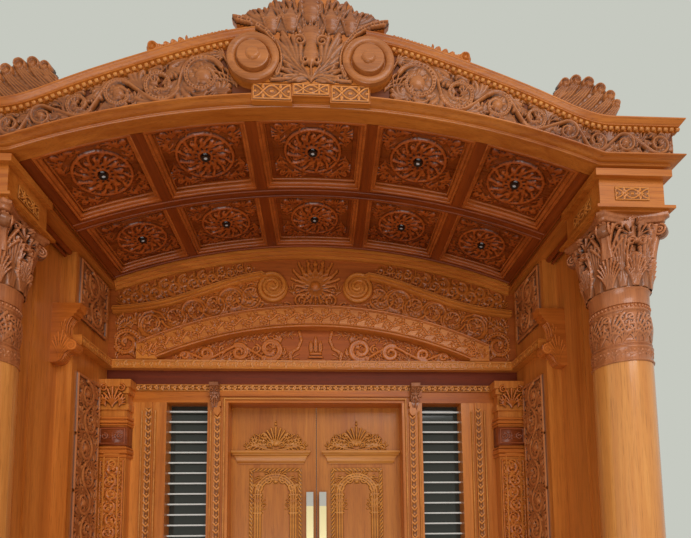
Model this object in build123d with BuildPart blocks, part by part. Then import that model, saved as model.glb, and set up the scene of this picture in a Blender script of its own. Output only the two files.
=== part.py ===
from build123d import *
import os
from math import asin, atan2, cos, degrees, hypot, pi, radians, sin, sqrt

os.makedirs("parts", exist_ok=True)

# Carved timber entrance porch: two columns carry an arched front over a coffered vault, with a
# screen of doors and sidelights at the back. Millimetres, floor at Z = 0, viewer on the -Y side.
# Depths are counted from the front face of the column blocks towards the doors.

# Clear space of the porch
spring_half = 1250.0
spring_height = 3167.0
arch_rise = 230.0
vault_depth = 1071.0
frame_depth = 175.0
front_reach = 100.0

# Joints between pieces
seat_gap = 0.2

# Column
column_centre = 1400.0
block_size = 290.0
plinth_size = 340.0
plinth_height = 160.0
plinth_chamfer = 8.0
base_height = 110.0
base_fillet_height = 14.0
base_fillet_reach = 2.0
shaft_foot_radius = 125.0
shaft_head_radius = 122.0
shaft_top = 2310.0
collar_height = 258.0
collar_radius = 121.0
collar_relief = 7.0
collar_leaves = 14
collar_leaf_edge = 30.0
collar_foot_ring = 26.0
collar_head_ring = 22.0
neck_height = 76.0
neck_radius = 124.0
capital_top = 2962.0
abacus_size = 330.0
abacus_height = 34.0
abacus_hollow = 26.0
abacus_corner = 22.0
abacus_flower = (16.0, 60.0, 6.0)
capital_leaves = 8
capital_bell_spread = 24.0
capital_lower_leaf = (0.0, 120.0, 88.0, 16.0)
capital_upper_leaf = (2.0, 200.0, 76.0, 24.0)
capital_volute_radius = 33.0
capital_volute_width = 26.0

# Block over the capital
lower_cornice_courses = [(0.0, 9.0, 12.0), (9.0, 22.0, 29.0)]
upper_band_low = 3119.0
upper_band_high = 3150.0
upper_band_reach = 25.0
block_ornament_width = 152.0
block_ornament_height = 64.0
block_ornament_depth = 10.0

# Arched front
front_end = 1545.0
fascia_back = 50.0
architrave_steps = [(0.0, 9.0, 18.0), (9.0, 17.0, 40.0), (17.0, 28.0, 65.0)]
architrave_joints = [420.0, 840.0]
frieze_reach = 30.0
frieze_relief = 12.0
cornice_level = 3357.0
cornice_height = 26.0
bead_height = 22.0
bead_reach = 52.0
cornice_reach = 70.0
cornice_courses = 2
ogee_half = 1300.0
ogee_line = [(1016.0, 93.0), (690.0, 224.0), (380.0, 330.0), (0.0, 378.0)]
scroll_places = [445.0, 610.0, 800.0, 965.0, 1110.0, 1235.0, 1375.0, 1500.0]
rail_height = 20.0
rail_end = 690.0
rail_set_back = 10.0
rail_clear = 6.0
rail_curl_radius = 22.0
rail_curl_lift = 8.0

# Crest over the middle of the arch
crest_half = 335.0
crest_top = 3885.0
crest_shoulder = 3762.0
crest_foot = 3717.0
crest_neck_half = 235.0
crest_board_depth = 30.0
crest_carving_depth = 22.0
crest_outline = [(0.0, 0.0), (47.0, 4.0), (60.0, 22.0), (100.0, 10.0), (121.0, 40.0), (161.0, 34.0),
                 (188.0, 74.0), (261.0, 92.0), (281.0, 115.0)]
crest_shoulder_drop = (315.0, 30.0)
crest_fan_foot = 60.0
crest_fan = [(90, 190, 62), (66, 200, 62), (114, 200, 62), (42, 220, 62), (138, 220, 62)]
crest_buds = [(0, 30), (78, 36), (-78, 36), (150, 62), (-150, 62)]
crest_bud_radius = 24.0
crest_vase_half = 100.0
keystone_half = 250.0
keystone_top = 3471.0
keystone_low = 3391.0
keystone_depth = 24.0
keystone_middle_low = 3413.0
keystone_middle_half = 80.0
keystone_middle_depth = 29.0
volute_x = 242.0
volute_z = 3572.0
volute_radius = 110.0
volute_steps = [(1.0, 18.0), (0.74, 29.0), (0.36, 40.0)]

# Fan ornaments on the cornice ends
fan_curls = [(1105.0, 3530.0, 15.0), (1149.0, 3538.0, 21.0), (1213.0, 3527.0, 23.0), (1261.0, 3498.0, 23.0),
             (1303.0, 3469.0, 22.0), (1326.0, 3437.0, 12.0)]
fan_inner = 1060.0
fan_outer = 1346.0
fan_depth = 55.0
fan_body_depth = 40.0

# Vault
coffer_depth = 40.0
roof_thickness = 14.0
roof_rest = 50.0
cross_rib_places = [(485.0, 545.0), (1000.0, 1071.0)]
long_rib_places = [270.0, 760.0]
rib_width = 50.0
coffer_rows = [255.0, 772.5]
rosette_board = (380.0, 350.0)
rosette_board_depth = 8.0
rosette_radius = 132.0
rosette_ring_width = 12.0
rosette_relief = 12.0
rosette_petals = 12
rosette_petal = (46.0, 66.0, 32.0)
rosette_spray = (88.0, 104.0, 50.0)
rosette_eye_ring = 20.0
rosette_edge = 3.0
lamp_radius = 17.0
lamp_lens_radius = 9.0
lamp_depth = 6.0
lamp_rim_reach = 4.0
edge_beam_depth = 45.0
edge_beam_width = 150.0

# Side walls and piers
side_face = 1370.0
side_thickness = 26.0
side_clearance = 5.0
side_strip_place = 400.0
side_strip_width = 40.0
side_strip_depth = 12.0
pier_face = 1290.0
pier_front = 650.0
pier_carving_depth = 16.0
pier_panel_edge = 34.0
upper_panel = (690.0, 1020.0, 2800.0, 3110.0)
lower_panel = (700.0, 960.0, 900.0, 2430.0)
console_width = 140.0
console_low = 2480.0
console_reach = 60.0
console_roll = 42.0
console_outline = [(0.0, 0.0), (27.0, 24.0), (42.0, 110.0), (60.0, 150.0), (48.0, 260.0), (60.0, 290.0),
                   (60.0, 320.0), (0.0, 320.0)]

# Back screen
shelf_low = 2600.0
shelf_height = 56.0
shelf_reach = 45.0
beam_low = 2514.0
header_low = 2398.0
lunette_thickness = 24.0
lunette_cornice_height = 60.0
lunette_cornice_reach = 45.0
band_reach = 58.0
band_outer_half = 1095.0
band_outer_foot = 2760.0
band_outer_top = 3008.0
band_inner_half = 971.0
band_inner_foot = 2666.0
band_inner_top = 2868.0
swan_line = [(1262.0, 3004.0), (1110.0, 3017.0), (952.0, 3047.0), (793.0, 3100.0), (633.0, 3159.0),
             (472.0, 3218.0), (331.0, 3246.0)]
swan_thickness = 34.0
swan_reach = 40.0
swan_eye_x = 270.0
swan_eye_z = 3150.0
swan_eye_radius = 92.0
swan_steps = [(0.72, 9.0), (0.36, 18.0)]
lunette_relief = 16.0
lunette_scrolls = [1180.0, 1000.0, 860.0, 730.0, 600.0, 470.0]
lunette_scroll_limit = 90.0
lunette_leaves = [1080.0, 900.0, 720.0]
lunette_sprays = [(90, 170), (62, 165), (118, 165), (34, 120), (146, 120), (210, 90), (330, 90), (270, 90)]
lunette_spray_width = 56.0
tympanum_scrolls = [(190.0, 62.0), (350.0, 58.0), (520.0, 48.0), (670.0, 34.0)]
tympanum_foot = 14.0
emblem_steps = [(60.0, 2.0, 26.0), (36.0, 26.0, 44.0)]
emblem_flames = [(-32, 60), (0, 92), (32, 60)]
emblem_flame_width = 26.0
opening_half = 543.0
mullion_outer = 670.0
sidelight_outer = 920.0
pilaster_inner = 1130.0
pilaster_reach = 75.0
pilaster_cap_low = 2330.0
pilaster_cap_reach = 24.0
pilaster_cap_courses = [(0.0, 0.2, 0.5), (0.55, 0.75, 0.6), (0.75, 1.0, 1.0)]
pilaster_block = (14.0, 2125.0, 2222.0)
pilaster_relief = 10.0
shaft_panel_top = 2065.0
shaft_panel_half = 46.0
shaft_panel_rim = 8.0
shaft_scroll_pitch = 90.0
shaft_scroll_radius = 30.0
shaft_scrolls = 12
apron_top = 900.0
apron_panel = (40.0, 120.0, 80.0)
mullion_block = (24.0, 30.0)
mullion_drop = (20.0, 70.0, 44.0)
corbel_depth = 30.0
glass_thickness = 6.0
glass_depth = 100.0
bar_height = 9.0
bar_depth = 14.0
bar_pitch = 65.0
bar_front = 62.0
frame_strip_width = 40.0
frame_strip_depth = 10.0
threshold_height = 30.0

# Door leaves
leaf_thickness = 45.0
leaf_lap = 12.0
leaf_gap = 2.0
leaf_foot_gap = 4.0
meeting_strip = (2.0, 12.0, 6.0)
leaf_cornice = (36.0, 542.0, 2030.0, 2112.0)
leaf_cornice_reach = 34.0
leaf_cornice_courses = [(0.0, 0.25), (0.3, 0.55), (0.62, 1.0)]
leaf_cornice_inset = 60.0
leaf_crest_top = 2306.0
leaf_crest_depth = 18.0
leaf_crest_fan = [(90, 1.0), (62, 0.8), (118, 0.8), (32, 0.82), (148, 0.82)]
leaf_crest_scroll = (70.0, 130.0, 46.0, 74.0)
leaf_crest_foot = (190.0, 14.0)
leaf_rope = (92.0, 430.0, 2004.0)
leaf_rope_width = 26.0
leaf_rope_depth = 14.0
leaf_panel_low = 950.0
leaf_arch_depth = 12.0
leaf_arch_width = 44.0
leaf_arch_drop = 170.0
leaf_arch_clear = 8.0
leaf_arch_crown = (30.0, 70.0, 50.0)
pull_place = (19.0, 63.0)
pull_low = 1250.0
pull_split = 1755.0
pull_top = 1844.0
pull_depth = 14.0
pull_stand = 34.0
pull_post_size = 20.0
pull_post_inset = 60.0
hinge_heights = [250.0, 1200.0, 2150.0]
hinge_height = 100.0
hinge_plate_width = 34.0
hinge_plate_depth = 2.5
hinge_radius = 6.0
hinge_pin_radius = 2.5
hinge_clearance = 0.2
hinge_plate_gap = 1.0
hinge_plate_lap = 2.0

# Values worked out from the sizes above
arch_radius = (spring_half**2 + arch_rise**2) / (2 * arch_rise)
arch_centre = spring_height + arch_rise - arch_radius
total_depth = front_reach + vault_depth + frame_depth + 2 * hinge_radius
lower_cornice_top = capital_top + lower_cornice_courses[-1][1]
side_front = block_size + lower_cornice_courses[-1][2] + side_clearance
front_y = front_reach - total_depth / 2
architrave_top = architrave_steps[-1][1]
entablature_end = front_end + architrave_steps[-1][2]
frieze_end = front_end + frieze_reach
cornice_end = front_end + cornice_reach
frieze_lift = cornice_height + bead_height
leaf_front = vault_depth + frame_depth - leaf_thickness
leaf_edge = opening_half + leaf_lap - leaf_gap
leaf_top = header_low + leaf_lap - leaf_gap
back = vault_depth + frame_depth


def wall(depth):
    """Upright plane at a depth, facing the viewer, with X to the right and Z up."""
    return Plane.XZ.offset(-(front_y + depth))


def outline(points):
    """Face inside a closed outline of straight runs."""
    with BuildSketch() as face:
        with BuildLine():
            Polyline(*points, close=True)
        make_face()
    return face.sketch


def rectangle(low_x, high_x, low_z, high_z):
    """Face between two widths and two heights."""
    return outline([(low_x, low_z), (high_x, low_z), (high_x, high_z), (low_x, high_z)])


def arch_height(x, lift=0.0):
    """Height of the arch line at x, level outside the springing."""
    foot = min(abs(x), spring_half)
    return arch_centre + sqrt(arch_radius**2 - foot**2) + lift


def arch_edge(lift, half):
    """Arch line from -half to half, raised by a lift."""
    foot = min(half, spring_half)
    low = arch_height(foot, lift)
    ThreePointArc((-foot, low), (0, arch_height(0, lift)), (foot, low))
    if half > spring_half:
        Line((-half, low), (-foot, low))
        Line((foot, low), (half, low))


def arch_strip(low, high, half):
    """Face between the arch line at two lifts."""
    with BuildSketch() as strip:
        with BuildLine():
            arch_edge(low, half)
            arch_edge(high, half)
            Line((-half, arch_height(half, low)), (-half, arch_height(half, high)))
            Line((half, arch_height(half, low)), (half, arch_height(half, high)))
        make_face()
    return strip.sketch


def ogee_edge(lift, half):
    """Line of the cornice top, swept up from its level ends to the middle."""
    level = cornice_level + lift
    for side in (-1, 1):
        points = [(side * x, level + rise) for x, rise in reversed(ogee_line)]
        Spline(*points, (side * ogee_half, level), tangents=[(side, 0), (side, 0)])
    Line((-half, level), (-ogee_half, level))
    Line((ogee_half, level), (half, level))


def ogee_strip(low, high, half):
    """Face between the cornice line at two lifts."""
    with BuildSketch() as strip:
        with BuildLine():
            ogee_edge(low, half)
            ogee_edge(high, half)
            Line((-half, cornice_level + low), (-half, cornice_level + high))
            Line((half, cornice_level + low), (half, cornice_level + high))
        make_face()
    return strip.sketch


def frieze_face():
    """Face of the frieze, from the arch below to the cornice line above."""
    low = architrave_top + seat_gap
    high = -frieze_lift - seat_gap
    with BuildSketch() as face:
        with BuildLine():
            arch_edge(low, frieze_end)
            ogee_edge(high, frieze_end)
            Line((-frieze_end, spring_height + low), (-frieze_end, cornice_level + high))
            Line((frieze_end, spring_height + low), (frieze_end, cornice_level + high))
        make_face()
    return face.sketch


def ogee_height(x):
    """Height of the cornice top at x, by straight steps between its set points."""
    points = [(ogee_half, 0.0)] + ogee_line
    x = min(abs(x), ogee_half)
    for (outer, low), (inner, high) in zip(points, points[1:]):
        if x >= inner:
            return cornice_level + low + (high - low) * (outer - x) / (outer - inner)
    return cornice_level


def stroke(path, wide, narrow):
    """Tapering ribbon of a given width along a list of points."""
    left = []
    right = []
    last = len(path) - 1
    for i, (x, z) in enumerate(path):
        before = path[max(i - 1, 0)]
        after = path[min(i + 1, last)]
        run = hypot(after[0] - before[0], after[1] - before[1])
        across = ((before[1] - after[1]) / run, (after[0] - before[0]) / run)
        half = (wide + (narrow - wide) * i / last) / 2
        left.append((x + across[0] * half, z + across[1] * half))
        right.append((x - across[0] * half, z - across[1] * half))
    return outline(left + right[::-1])


def spiral(x, z, radius, start, turns, width, steps=18):
    """Ribbon that winds inwards about a point from a start angle; turns may be negative."""
    path = []
    for i in range(steps + 1):
        share = i / steps
        angle = radians(start + 360 * turns * share)
        reach = radius * (1 - 0.74 * share)
        path.append((x + reach * cos(angle), z + reach * sin(angle)))
    return stroke(path, width, width * 0.5)


def disc(x, z, radius, sides=12):
    """Round boss as an even polygon."""
    turns = [2 * pi * i / sides for i in range(sides)]
    return outline([(x + radius * cos(a), z + radius * sin(a)) for a in turns])


def leaf(x, z, length, width, angle):
    """Pointed leaf growing from a point at an angle."""
    shape = [(0, -0.12), (0.25, -0.42), (0.6, -0.5), (0.86, -0.24), (1, 0), (0.86, 0.24), (0.6, 0.5),
             (0.25, 0.42), (0, 0.12)]
    turn = radians(angle)
    points = []
    for along, across in shape:
        a = along * length
        b = across * width
        points.append((x + a * cos(turn) - b * sin(turn), z + a * sin(turn) + b * cos(turn)))
    return outline(points)


def cut_lengths(places):
    """Cut the piece that is being built into lengths, at each place left and right of the middle."""
    for place in places:
        for side in (-1, 1):
            split(bisect_by=Plane.YZ.offset(side * place), keep=Keep.BOTH)


def save(piece, name):
    """Label a finished piece and write it."""
    piece.part.label = name
    export_step(piece.part, f"parts/{name}.step")


# Column bases: a square plinth with turned rings above it
with BuildPart() as column_bases:
    with BuildSketch(Plane.XY):
        with Locations((column_centre, front_y + block_size / 2)):
            Rectangle(plinth_size, plinth_size)
    extrude(amount=plinth_height)
    chamfer(column_bases.edges().group_by(Axis.Z)[-1], plinth_chamfer)
    ring_half = base_height / 2
    fillet_radius = shaft_foot_radius + base_fillet_reach
    with BuildSketch(Plane.XZ.offset(-(front_y + block_size / 2))):
        with BuildLine():
            top = plinth_height + base_height
            edge = plinth_size / 2 - plinth_chamfer
            Polyline(
                (column_centre, top),
                (column_centre, plinth_height),
                (column_centre + edge - ring_half / 2, plinth_height),
            )
            ThreePointArc(
                (column_centre + edge - ring_half / 2, plinth_height),
                (column_centre + edge, plinth_height + ring_half / 2),
                (column_centre + edge - ring_half / 2, plinth_height + ring_half),
            )
            Polyline(
                (column_centre + edge - ring_half / 2, plinth_height + ring_half),
                (column_centre + fillet_radius, top - base_fillet_height),
                (column_centre + fillet_radius, top),
                (column_centre, top),
            )
        make_face()
    revolve(axis=Axis((column_centre, front_y + block_size / 2, 0), (0, 0, 1)))
    mirror(about=Plane.YZ)
save(column_bases, "column_bases")


def column_shaft(side):
    """Tapering shaft from the base rings to the carved collar."""
    with BuildPart() as shaft:
        with BuildSketch(Plane.XY.offset(plinth_height + base_height)):
            with Locations((side * column_centre, front_y + block_size / 2)):
                Circle(shaft_foot_radius)
        with BuildSketch(Plane.XY.offset(shaft_top)):
            with Locations((side * column_centre, front_y + block_size / 2)):
                Circle(shaft_head_radius)
        loft()
    return shaft


left_column_shaft = column_shaft(-1)
save(left_column_shaft, "left_column_shaft")
right_column_shaft = column_shaft(1)
save(right_column_shaft, "right_column_shaft")

# Carved collars: a drum with raised leaves between two rings
with BuildPart() as column_collars:
    collar_top = shaft_top + collar_height
    with BuildSketch(Plane.XY.offset(shaft_top + collar_leaf_edge)):
        with Locations((column_centre, front_y + block_size / 2)):
            with PolarLocations(collar_radius, collar_leaves):
                Rectangle(2 * collar_relief, 1.35 * pi * collar_radius / collar_leaves)
    extrude(amount=collar_height - 2 * collar_leaf_edge)
    with BuildSketch(Plane.XY.offset(shaft_top)):
        with Locations((column_centre, front_y + block_size / 2)):
            Circle(collar_radius + collar_relief)
    extrude(amount=collar_foot_ring)
    with BuildSketch(Plane.XY.offset(collar_top - collar_head_ring)):
        with Locations((column_centre, front_y + block_size / 2)):
            Circle(collar_radius + collar_relief / 2)
    extrude(amount=collar_head_ring)
    with BuildSketch(Plane.XY.offset(shaft_top)):
        with Locations((column_centre, front_y + block_size / 2)):
            Circle(collar_radius)
    extrude(amount=collar_height)
    mirror(about=Plane.YZ)
save(column_collars, "column_collars")


def capital_leaf(foot, out, height, width, curl):
    """One leaf standing against the bell, its tip curled outwards, on the +X side."""
    radius = neck_radius + out
    inside = radius - 20
    with BuildPart() as one:
        with BuildSketch(Plane.XZ):
            with BuildLine():
                Polyline(
                    (inside, foot),
                    (radius + 10, foot),
                    (radius + 14, foot + 0.5 * height),
                    (radius + 22, foot + 0.78 * height),
                    (radius + 22 + curl, foot + 0.84 * height),
                    (radius + 24 + curl, foot + 0.96 * height),
                    (radius + 14 + 0.5 * curl, foot + height),
                    (inside, foot + height),
                    close=True,
                )
            make_face()
        extrude(amount=width / 2, both=True)
        with BuildSketch(Plane.YZ.offset(inside - 10)):
            with BuildLine():
                half = width / 2
                Polyline(
                    (-0.5 * half, foot),
                    (0.5 * half, foot),
                    (half, foot + 0.4 * height),
                    (half, foot + 0.7 * height),
                    (0.45 * half, foot + height),
                    (-0.45 * half, foot + height),
                    (-half, foot + 0.7 * height),
                    (-half, foot + 0.4 * height),
                    close=True,
                )
            make_face()
        extrude(amount=80 + curl, mode=Mode.INTERSECT)
    return one.part


def capital(side):
    """Carved capital: neck, bell with two rows of leaves, corner volutes and a hollowed top slab."""
    foot = shaft_top + collar_height
    bell_foot = foot + neck_height
    bell_top = capital_top - abacus_height
    with BuildPart() as piece:
        with BuildSketch(Plane.XZ):
            with BuildLine():
                Polyline((0, bell_top), (0, foot), (neck_radius, foot), (neck_radius, bell_foot))
                Spline(
                    (neck_radius, bell_foot),
                    (neck_radius + 0.2 * capital_bell_spread, bell_foot + 0.6 * (bell_top - bell_foot)),
                    (neck_radius + capital_bell_spread, bell_top),
                )
                Line((neck_radius + capital_bell_spread, bell_top), (0, bell_top))
            make_face()
        revolve(axis=Axis.Z)
        lower = capital_leaf(bell_foot, *capital_lower_leaf)
        upper = capital_leaf(bell_foot, *capital_upper_leaf)
        with PolarLocations(0, capital_leaves):
            add(lower)
        with PolarLocations(0, capital_leaves, start_angle=180 / capital_leaves):
            add(upper)
        diagonal = abacus_size / 2 * sqrt(2) - capital_volute_radius - 10
        for turn in (45, 135, 225, 315):
            corner = Plane(
                origin=(0, 0, bell_top - capital_volute_radius),
                x_dir=(cos(radians(turn)), sin(radians(turn)), 0),
                z_dir=(sin(radians(turn)), -cos(radians(turn)), 0),
            )
            with BuildSketch(corner.offset(-capital_volute_width / 2)):
                with Locations((diagonal, 0)):
                    Circle(capital_volute_radius)
                with Locations((diagonal / 2 + 20, capital_volute_radius / 2)):
                    Rectangle(diagonal, capital_volute_radius)
            extrude(amount=capital_volute_width)
        half = abacus_size / 2
        cut = half - abacus_corner
        with BuildSketch(Plane.XY.offset(bell_top)):
            with BuildLine():
                corners = [(half, cut), (cut, half), (-cut, half), (-half, cut)]
                corners += [(-half, -cut), (-cut, -half), (cut, -half), (half, -cut)]
                hollows = [(0, half - abacus_hollow), (abacus_hollow - half, 0)]
                hollows += [(0, abacus_hollow - half), (half - abacus_hollow, 0)]
                for i, hollow in enumerate(hollows):
                    start = corners[2 * i + 1]
                    end = corners[(2 * i + 2) % 8]
                    Line(corners[2 * i], start)
                    ThreePointArc(start, hollow, end)
            make_face()
        extrude(amount=abacus_height)
        flower_depth, flower_width, flower_drop = abacus_flower
        with BuildSketch(Plane.XY.offset(bell_top - flower_drop)):
            with PolarLocations(half - abacus_hollow + 2, 4):
                Rectangle(flower_depth, flower_width)
        extrude(amount=abacus_height)
    with BuildPart() as placed:
        with Locations((side * column_centre, front_y + block_size / 2, 0)):
            add(piece.part)
    return placed


left_capital = capital(-1)
save(left_capital, "left_capital")
right_capital = capital(1)
save(right_capital, "right_capital")


def ornament_face(width, height):
    """Small flower between two pairs of leaves, centred on the origin."""
    with BuildSketch() as face:
        add(disc(0, 0, 0.3 * height))
        for side in (-1, 1):
            turn = 90 - 90 * side
            add(leaf(side * 0.1 * width, 0, 0.4 * width, 0.36 * height, turn + 24))
            add(leaf(side * 0.1 * width, 0, 0.4 * width, 0.36 * height, turn - 24))
            add(disc(side * 0.4 * width, 0, 0.2 * height, 8))
        Rectangle(0.86 * width, 0.16 * height)
    return face.sketch


def impost_block(side):
    """Square block over the capital, with a cornice at its foot and a band near its head."""
    centre = (side * column_centre, front_y + block_size / 2)
    with BuildPart() as block:
        with BuildSketch(Plane.XY.offset(capital_top)):
            with Locations(centre):
                Rectangle(block_size, block_size)
        extrude(amount=spring_height - capital_top)
        for low, high, reach in lower_cornice_courses:
            with BuildSketch(Plane.XY.offset(capital_top + low)):
                with Locations(centre):
                    Rectangle(block_size + 2 * reach, block_size + 2 * reach)
            extrude(amount=high - low)
        with BuildSketch(Plane.XY.offset(upper_band_low)):
            with Locations((centre[0], centre[1] - upper_band_reach / 2)):
                Rectangle(block_size + 2 * upper_band_reach, block_size + upper_band_reach)
        extrude(amount=upper_band_high - upper_band_low)
    return block


left_impost_block = impost_block(-1)
save(left_impost_block, "left_impost_block")
right_impost_block = impost_block(1)
save(right_impost_block, "right_impost_block")

# Small carved flowers planted on the front and inner faces of the blocks
with BuildPart() as impost_ornaments:
    ornament_height = (lower_cornice_top + upper_band_low) / 2
    with BuildSketch(wall(0)):
        with Locations((column_centre, ornament_height)):
            add(ornament_face(block_ornament_width, block_ornament_height))
    extrude(amount=block_ornament_depth)
    inner_face = Plane(
        origin=(column_centre - block_size / 2, front_y + block_size / 2, ornament_height),
        x_dir=(0, 1, 0),
        z_dir=(-1, 0, 0),
    )
    with BuildSketch(inner_face):
        add(ornament_face(block_ornament_width, block_ornament_height))
    extrude(amount=block_ornament_depth)
    mirror(about=Plane.YZ)
save(impost_ornaments, "impost_ornaments")

# Corner blocks behind the ends of the arched front
with BuildPart() as corner_blocks:
    corner_low = spring_half + roof_rest + 2
    with BuildSketch(Plane.XY.offset(spring_height)):
        with Locations(((corner_low + front_end) / 2, front_y + (fascia_back + block_size) / 2)):
            Rectangle(front_end - corner_low, block_size - fascia_back)
    extrude(amount=cornice_level - spring_height)
    mirror(about=Plane.YZ)
save(corner_blocks, "corner_blocks")

# Architrave: three stepped courses that follow the arch and run level over the blocks, in five lengths
with BuildPart() as arch_architrave:
    for low, high, reach in architrave_steps:
        with BuildSketch(wall(fascia_back)):
            add(arch_strip(low, high, front_end + reach))
        extrude(amount=fascia_back + reach)
    with BuildSketch(wall(-frieze_reach)):
        keystone_room = keystone_half + seat_gap
        add(rectangle(-keystone_room, keystone_room, spring_height, cornice_level + arch_rise))
    extrude(amount=front_reach, mode=Mode.SUBTRACT)
    cut_lengths(architrave_joints)
save(arch_architrave, "arch_architrave")

# Frieze board between the architrave and the cornice
with BuildPart() as arch_frieze:
    with BuildSketch(wall(fascia_back)):
        add(frieze_face())
    extrude(amount=fascia_back + frieze_reach)
save(arch_frieze, "arch_frieze")


def frieze_carving():
    """Right half of the scrollwork: spirals that turn from side to side, with buds and leaves."""
    with BuildPart() as carving:
        with BuildSketch(wall(-frieze_reach)):
            for i, x in enumerate(scroll_places):
                low = arch_height(x, architrave_top)
                high = ogee_height(x) - frieze_lift
                middle = (low + high) / 2
                radius = 0.43 * (high - low)
                turn = 1 if i % 2 else -1
                add(spiral(x, middle, 0.86 * radius, 90 * turn, 1.3 * turn, 0.26 * radius))
                add(disc(x, middle, 0.26 * radius, 8))
                if x - radius > volute_x + volute_radius:
                    add(leaf(x - 0.5 * radius, middle - 0.5 * turn * radius, 0.7 * radius, 0.4 * radius, 225))
                add(leaf(x + 0.5 * radius, middle + 0.4 * turn * radius, 0.8 * radius, 0.4 * radius, 40 * turn))
                if i:
                    back_x, back_z = previous
                    add(stroke([(back_x, back_z), ((back_x + x) / 2, (back_z + middle) / 2),
                                (x, middle)], 0.22 * radius, 0.2 * radius))
                previous = (x, middle)
            add(frieze_face(), mode=Mode.INTERSECT)
        extrude(amount=frieze_relief)
    return carving


right_frieze_carving = frieze_carving()
save(right_frieze_carving, "right_frieze_carving")
with BuildPart() as left_frieze_carving:
    add(right_frieze_carving.part)
    mirror(about=Plane.YZ, mode=Mode.REPLACE)
save(left_frieze_carving, "left_frieze_carving")


def arch_cornice():
    """Right half of the cornice: a course of beads, four growing courses and a low rail on top."""
    with BuildPart() as cornice:
        with BuildSketch(wall(fascia_back)):
            add(ogee_strip(-frieze_lift, -cornice_height, front_end + bead_reach))
        extrude(amount=fascia_back + bead_reach)
        for i in range(cornice_courses):
            low = -cornice_height * (1 - i / cornice_courses)
            high = -cornice_height * (1 - (i + 1) / cornice_courses)
            reach = bead_reach + (cornice_reach - bead_reach) * (i + 1) / cornice_courses
            with BuildSketch(wall(fascia_back)):
                add(ogee_strip(low, high, front_end + reach))
            extrude(amount=fascia_back + reach)
        with BuildSketch(wall(-frieze_reach + rail_set_back)):
            add(ogee_strip(0, rail_height, front_end))
            add(rectangle(crest_half + rail_clear, rail_end, keystone_low, crest_top), mode=Mode.INTERSECT)
            curl_z = ogee_height(rail_end) + rail_height
            add(disc(rail_end - rail_curl_radius, curl_z + rail_curl_lift, rail_curl_radius))
        extrude(amount=cornice_reach - frieze_reach - 4)
        with BuildSketch(wall(fascia_back)):
            add(rectangle(-cornice_end - 1, crest_neck_half + seat_gap, spring_height, crest_top))
            with Locations((volute_x, volute_z)):
                Circle(volute_radius + seat_gap)
        extrude(amount=fascia_back + front_reach, mode=Mode.SUBTRACT)
    return cornice


right_arch_cornice = arch_cornice()
save(right_arch_cornice, "right_arch_cornice")
with BuildPart() as left_arch_cornice:
    add(right_arch_cornice.part)
    mirror(about=Plane.YZ, mode=Mode.REPLACE)
save(left_arch_cornice, "left_arch_cornice")

crest_side = [(x, crest_top - drop) for x, drop in crest_outline]
crest_side.append((crest_half, crest_shoulder))
crest_side.append((crest_shoulder_drop[0], crest_shoulder - crest_shoulder_drop[1]))
crest_side.append((crest_neck_half, crest_foot))

# Crest board with the keystone blocks at its foot
with BuildPart() as crest_board:
    with BuildSketch(wall(-frieze_reach)):
        top_side = [(-x, z) for x, z in reversed(crest_side[1:])]
        add(outline(top_side + crest_side))
        add(rectangle(-crest_neck_half, crest_neck_half, keystone_top, crest_foot))
        with Locations((volute_x, volute_z), (-volute_x, volute_z)):
            Circle(volute_radius)
    extrude(amount=crest_board_depth)
    with BuildSketch(wall(-frieze_reach)):
        add(rectangle(-keystone_half, keystone_half, keystone_low, keystone_top))
        add(
            rectangle(-keystone_middle_half, keystone_middle_half, keystone_low, keystone_middle_low),
            mode=Mode.SUBTRACT,
        )
    extrude(amount=keystone_depth)
    with BuildSketch(wall(-frieze_reach)):
        add(rectangle(-keystone_middle_half, keystone_middle_half, keystone_middle_low, keystone_top))
    extrude(amount=keystone_middle_depth)
    with BuildSketch(wall(-frieze_reach - crest_board_depth)):
        with Locations((volute_x, volute_z), (-volute_x, volute_z)):
            Circle(volute_radius + seat_gap)
    extrude(amount=front_reach, mode=Mode.SUBTRACT)
save(crest_board, "crest_board")

# Carving planted on the crest board: a fan of leaves, buds on top and a vase shape below
with BuildPart() as crest_carving:
    with BuildSketch(wall(-frieze_reach - crest_board_depth)):
        for angle, length, width in crest_fan:
            add(leaf(0, crest_foot - crest_fan_foot, length, width, angle))
        for x, drop in crest_buds:
            add(disc(x, crest_top - drop, crest_bud_radius))
        for side in (-1, 1):
            turn = 90 - 90 * side
            add(leaf(side * 150, crest_foot + 20, 150, 70, turn + side * 20))
            add(leaf(side * 60, keystone_top + 10, 150, 54, turn + side * 62))
        add(leaf(0, keystone_top + 4, 170, 90, 90))
        add(outline(top_side + crest_side[:-1] + [(crest_vase_half, crest_foot), (crest_vase_half, keystone_top)]
                    + [(-crest_vase_half, keystone_top), (-crest_vase_half, crest_foot)]), mode=Mode.INTERSECT)
    extrude(amount=crest_carving_depth)
save(crest_carving, "crest_carving")

# Stepped round volutes each side of the crest
with BuildPart() as crest_volutes:
    for share, thickness in volute_steps:
        with BuildSketch(wall(-frieze_reach - crest_board_depth)):
            with Locations((volute_x, volute_z)):
                Circle(share * volute_radius)
        extrude(amount=thickness)
    mirror(about=Plane.YZ)
save(crest_volutes, "crest_volutes")


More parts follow.
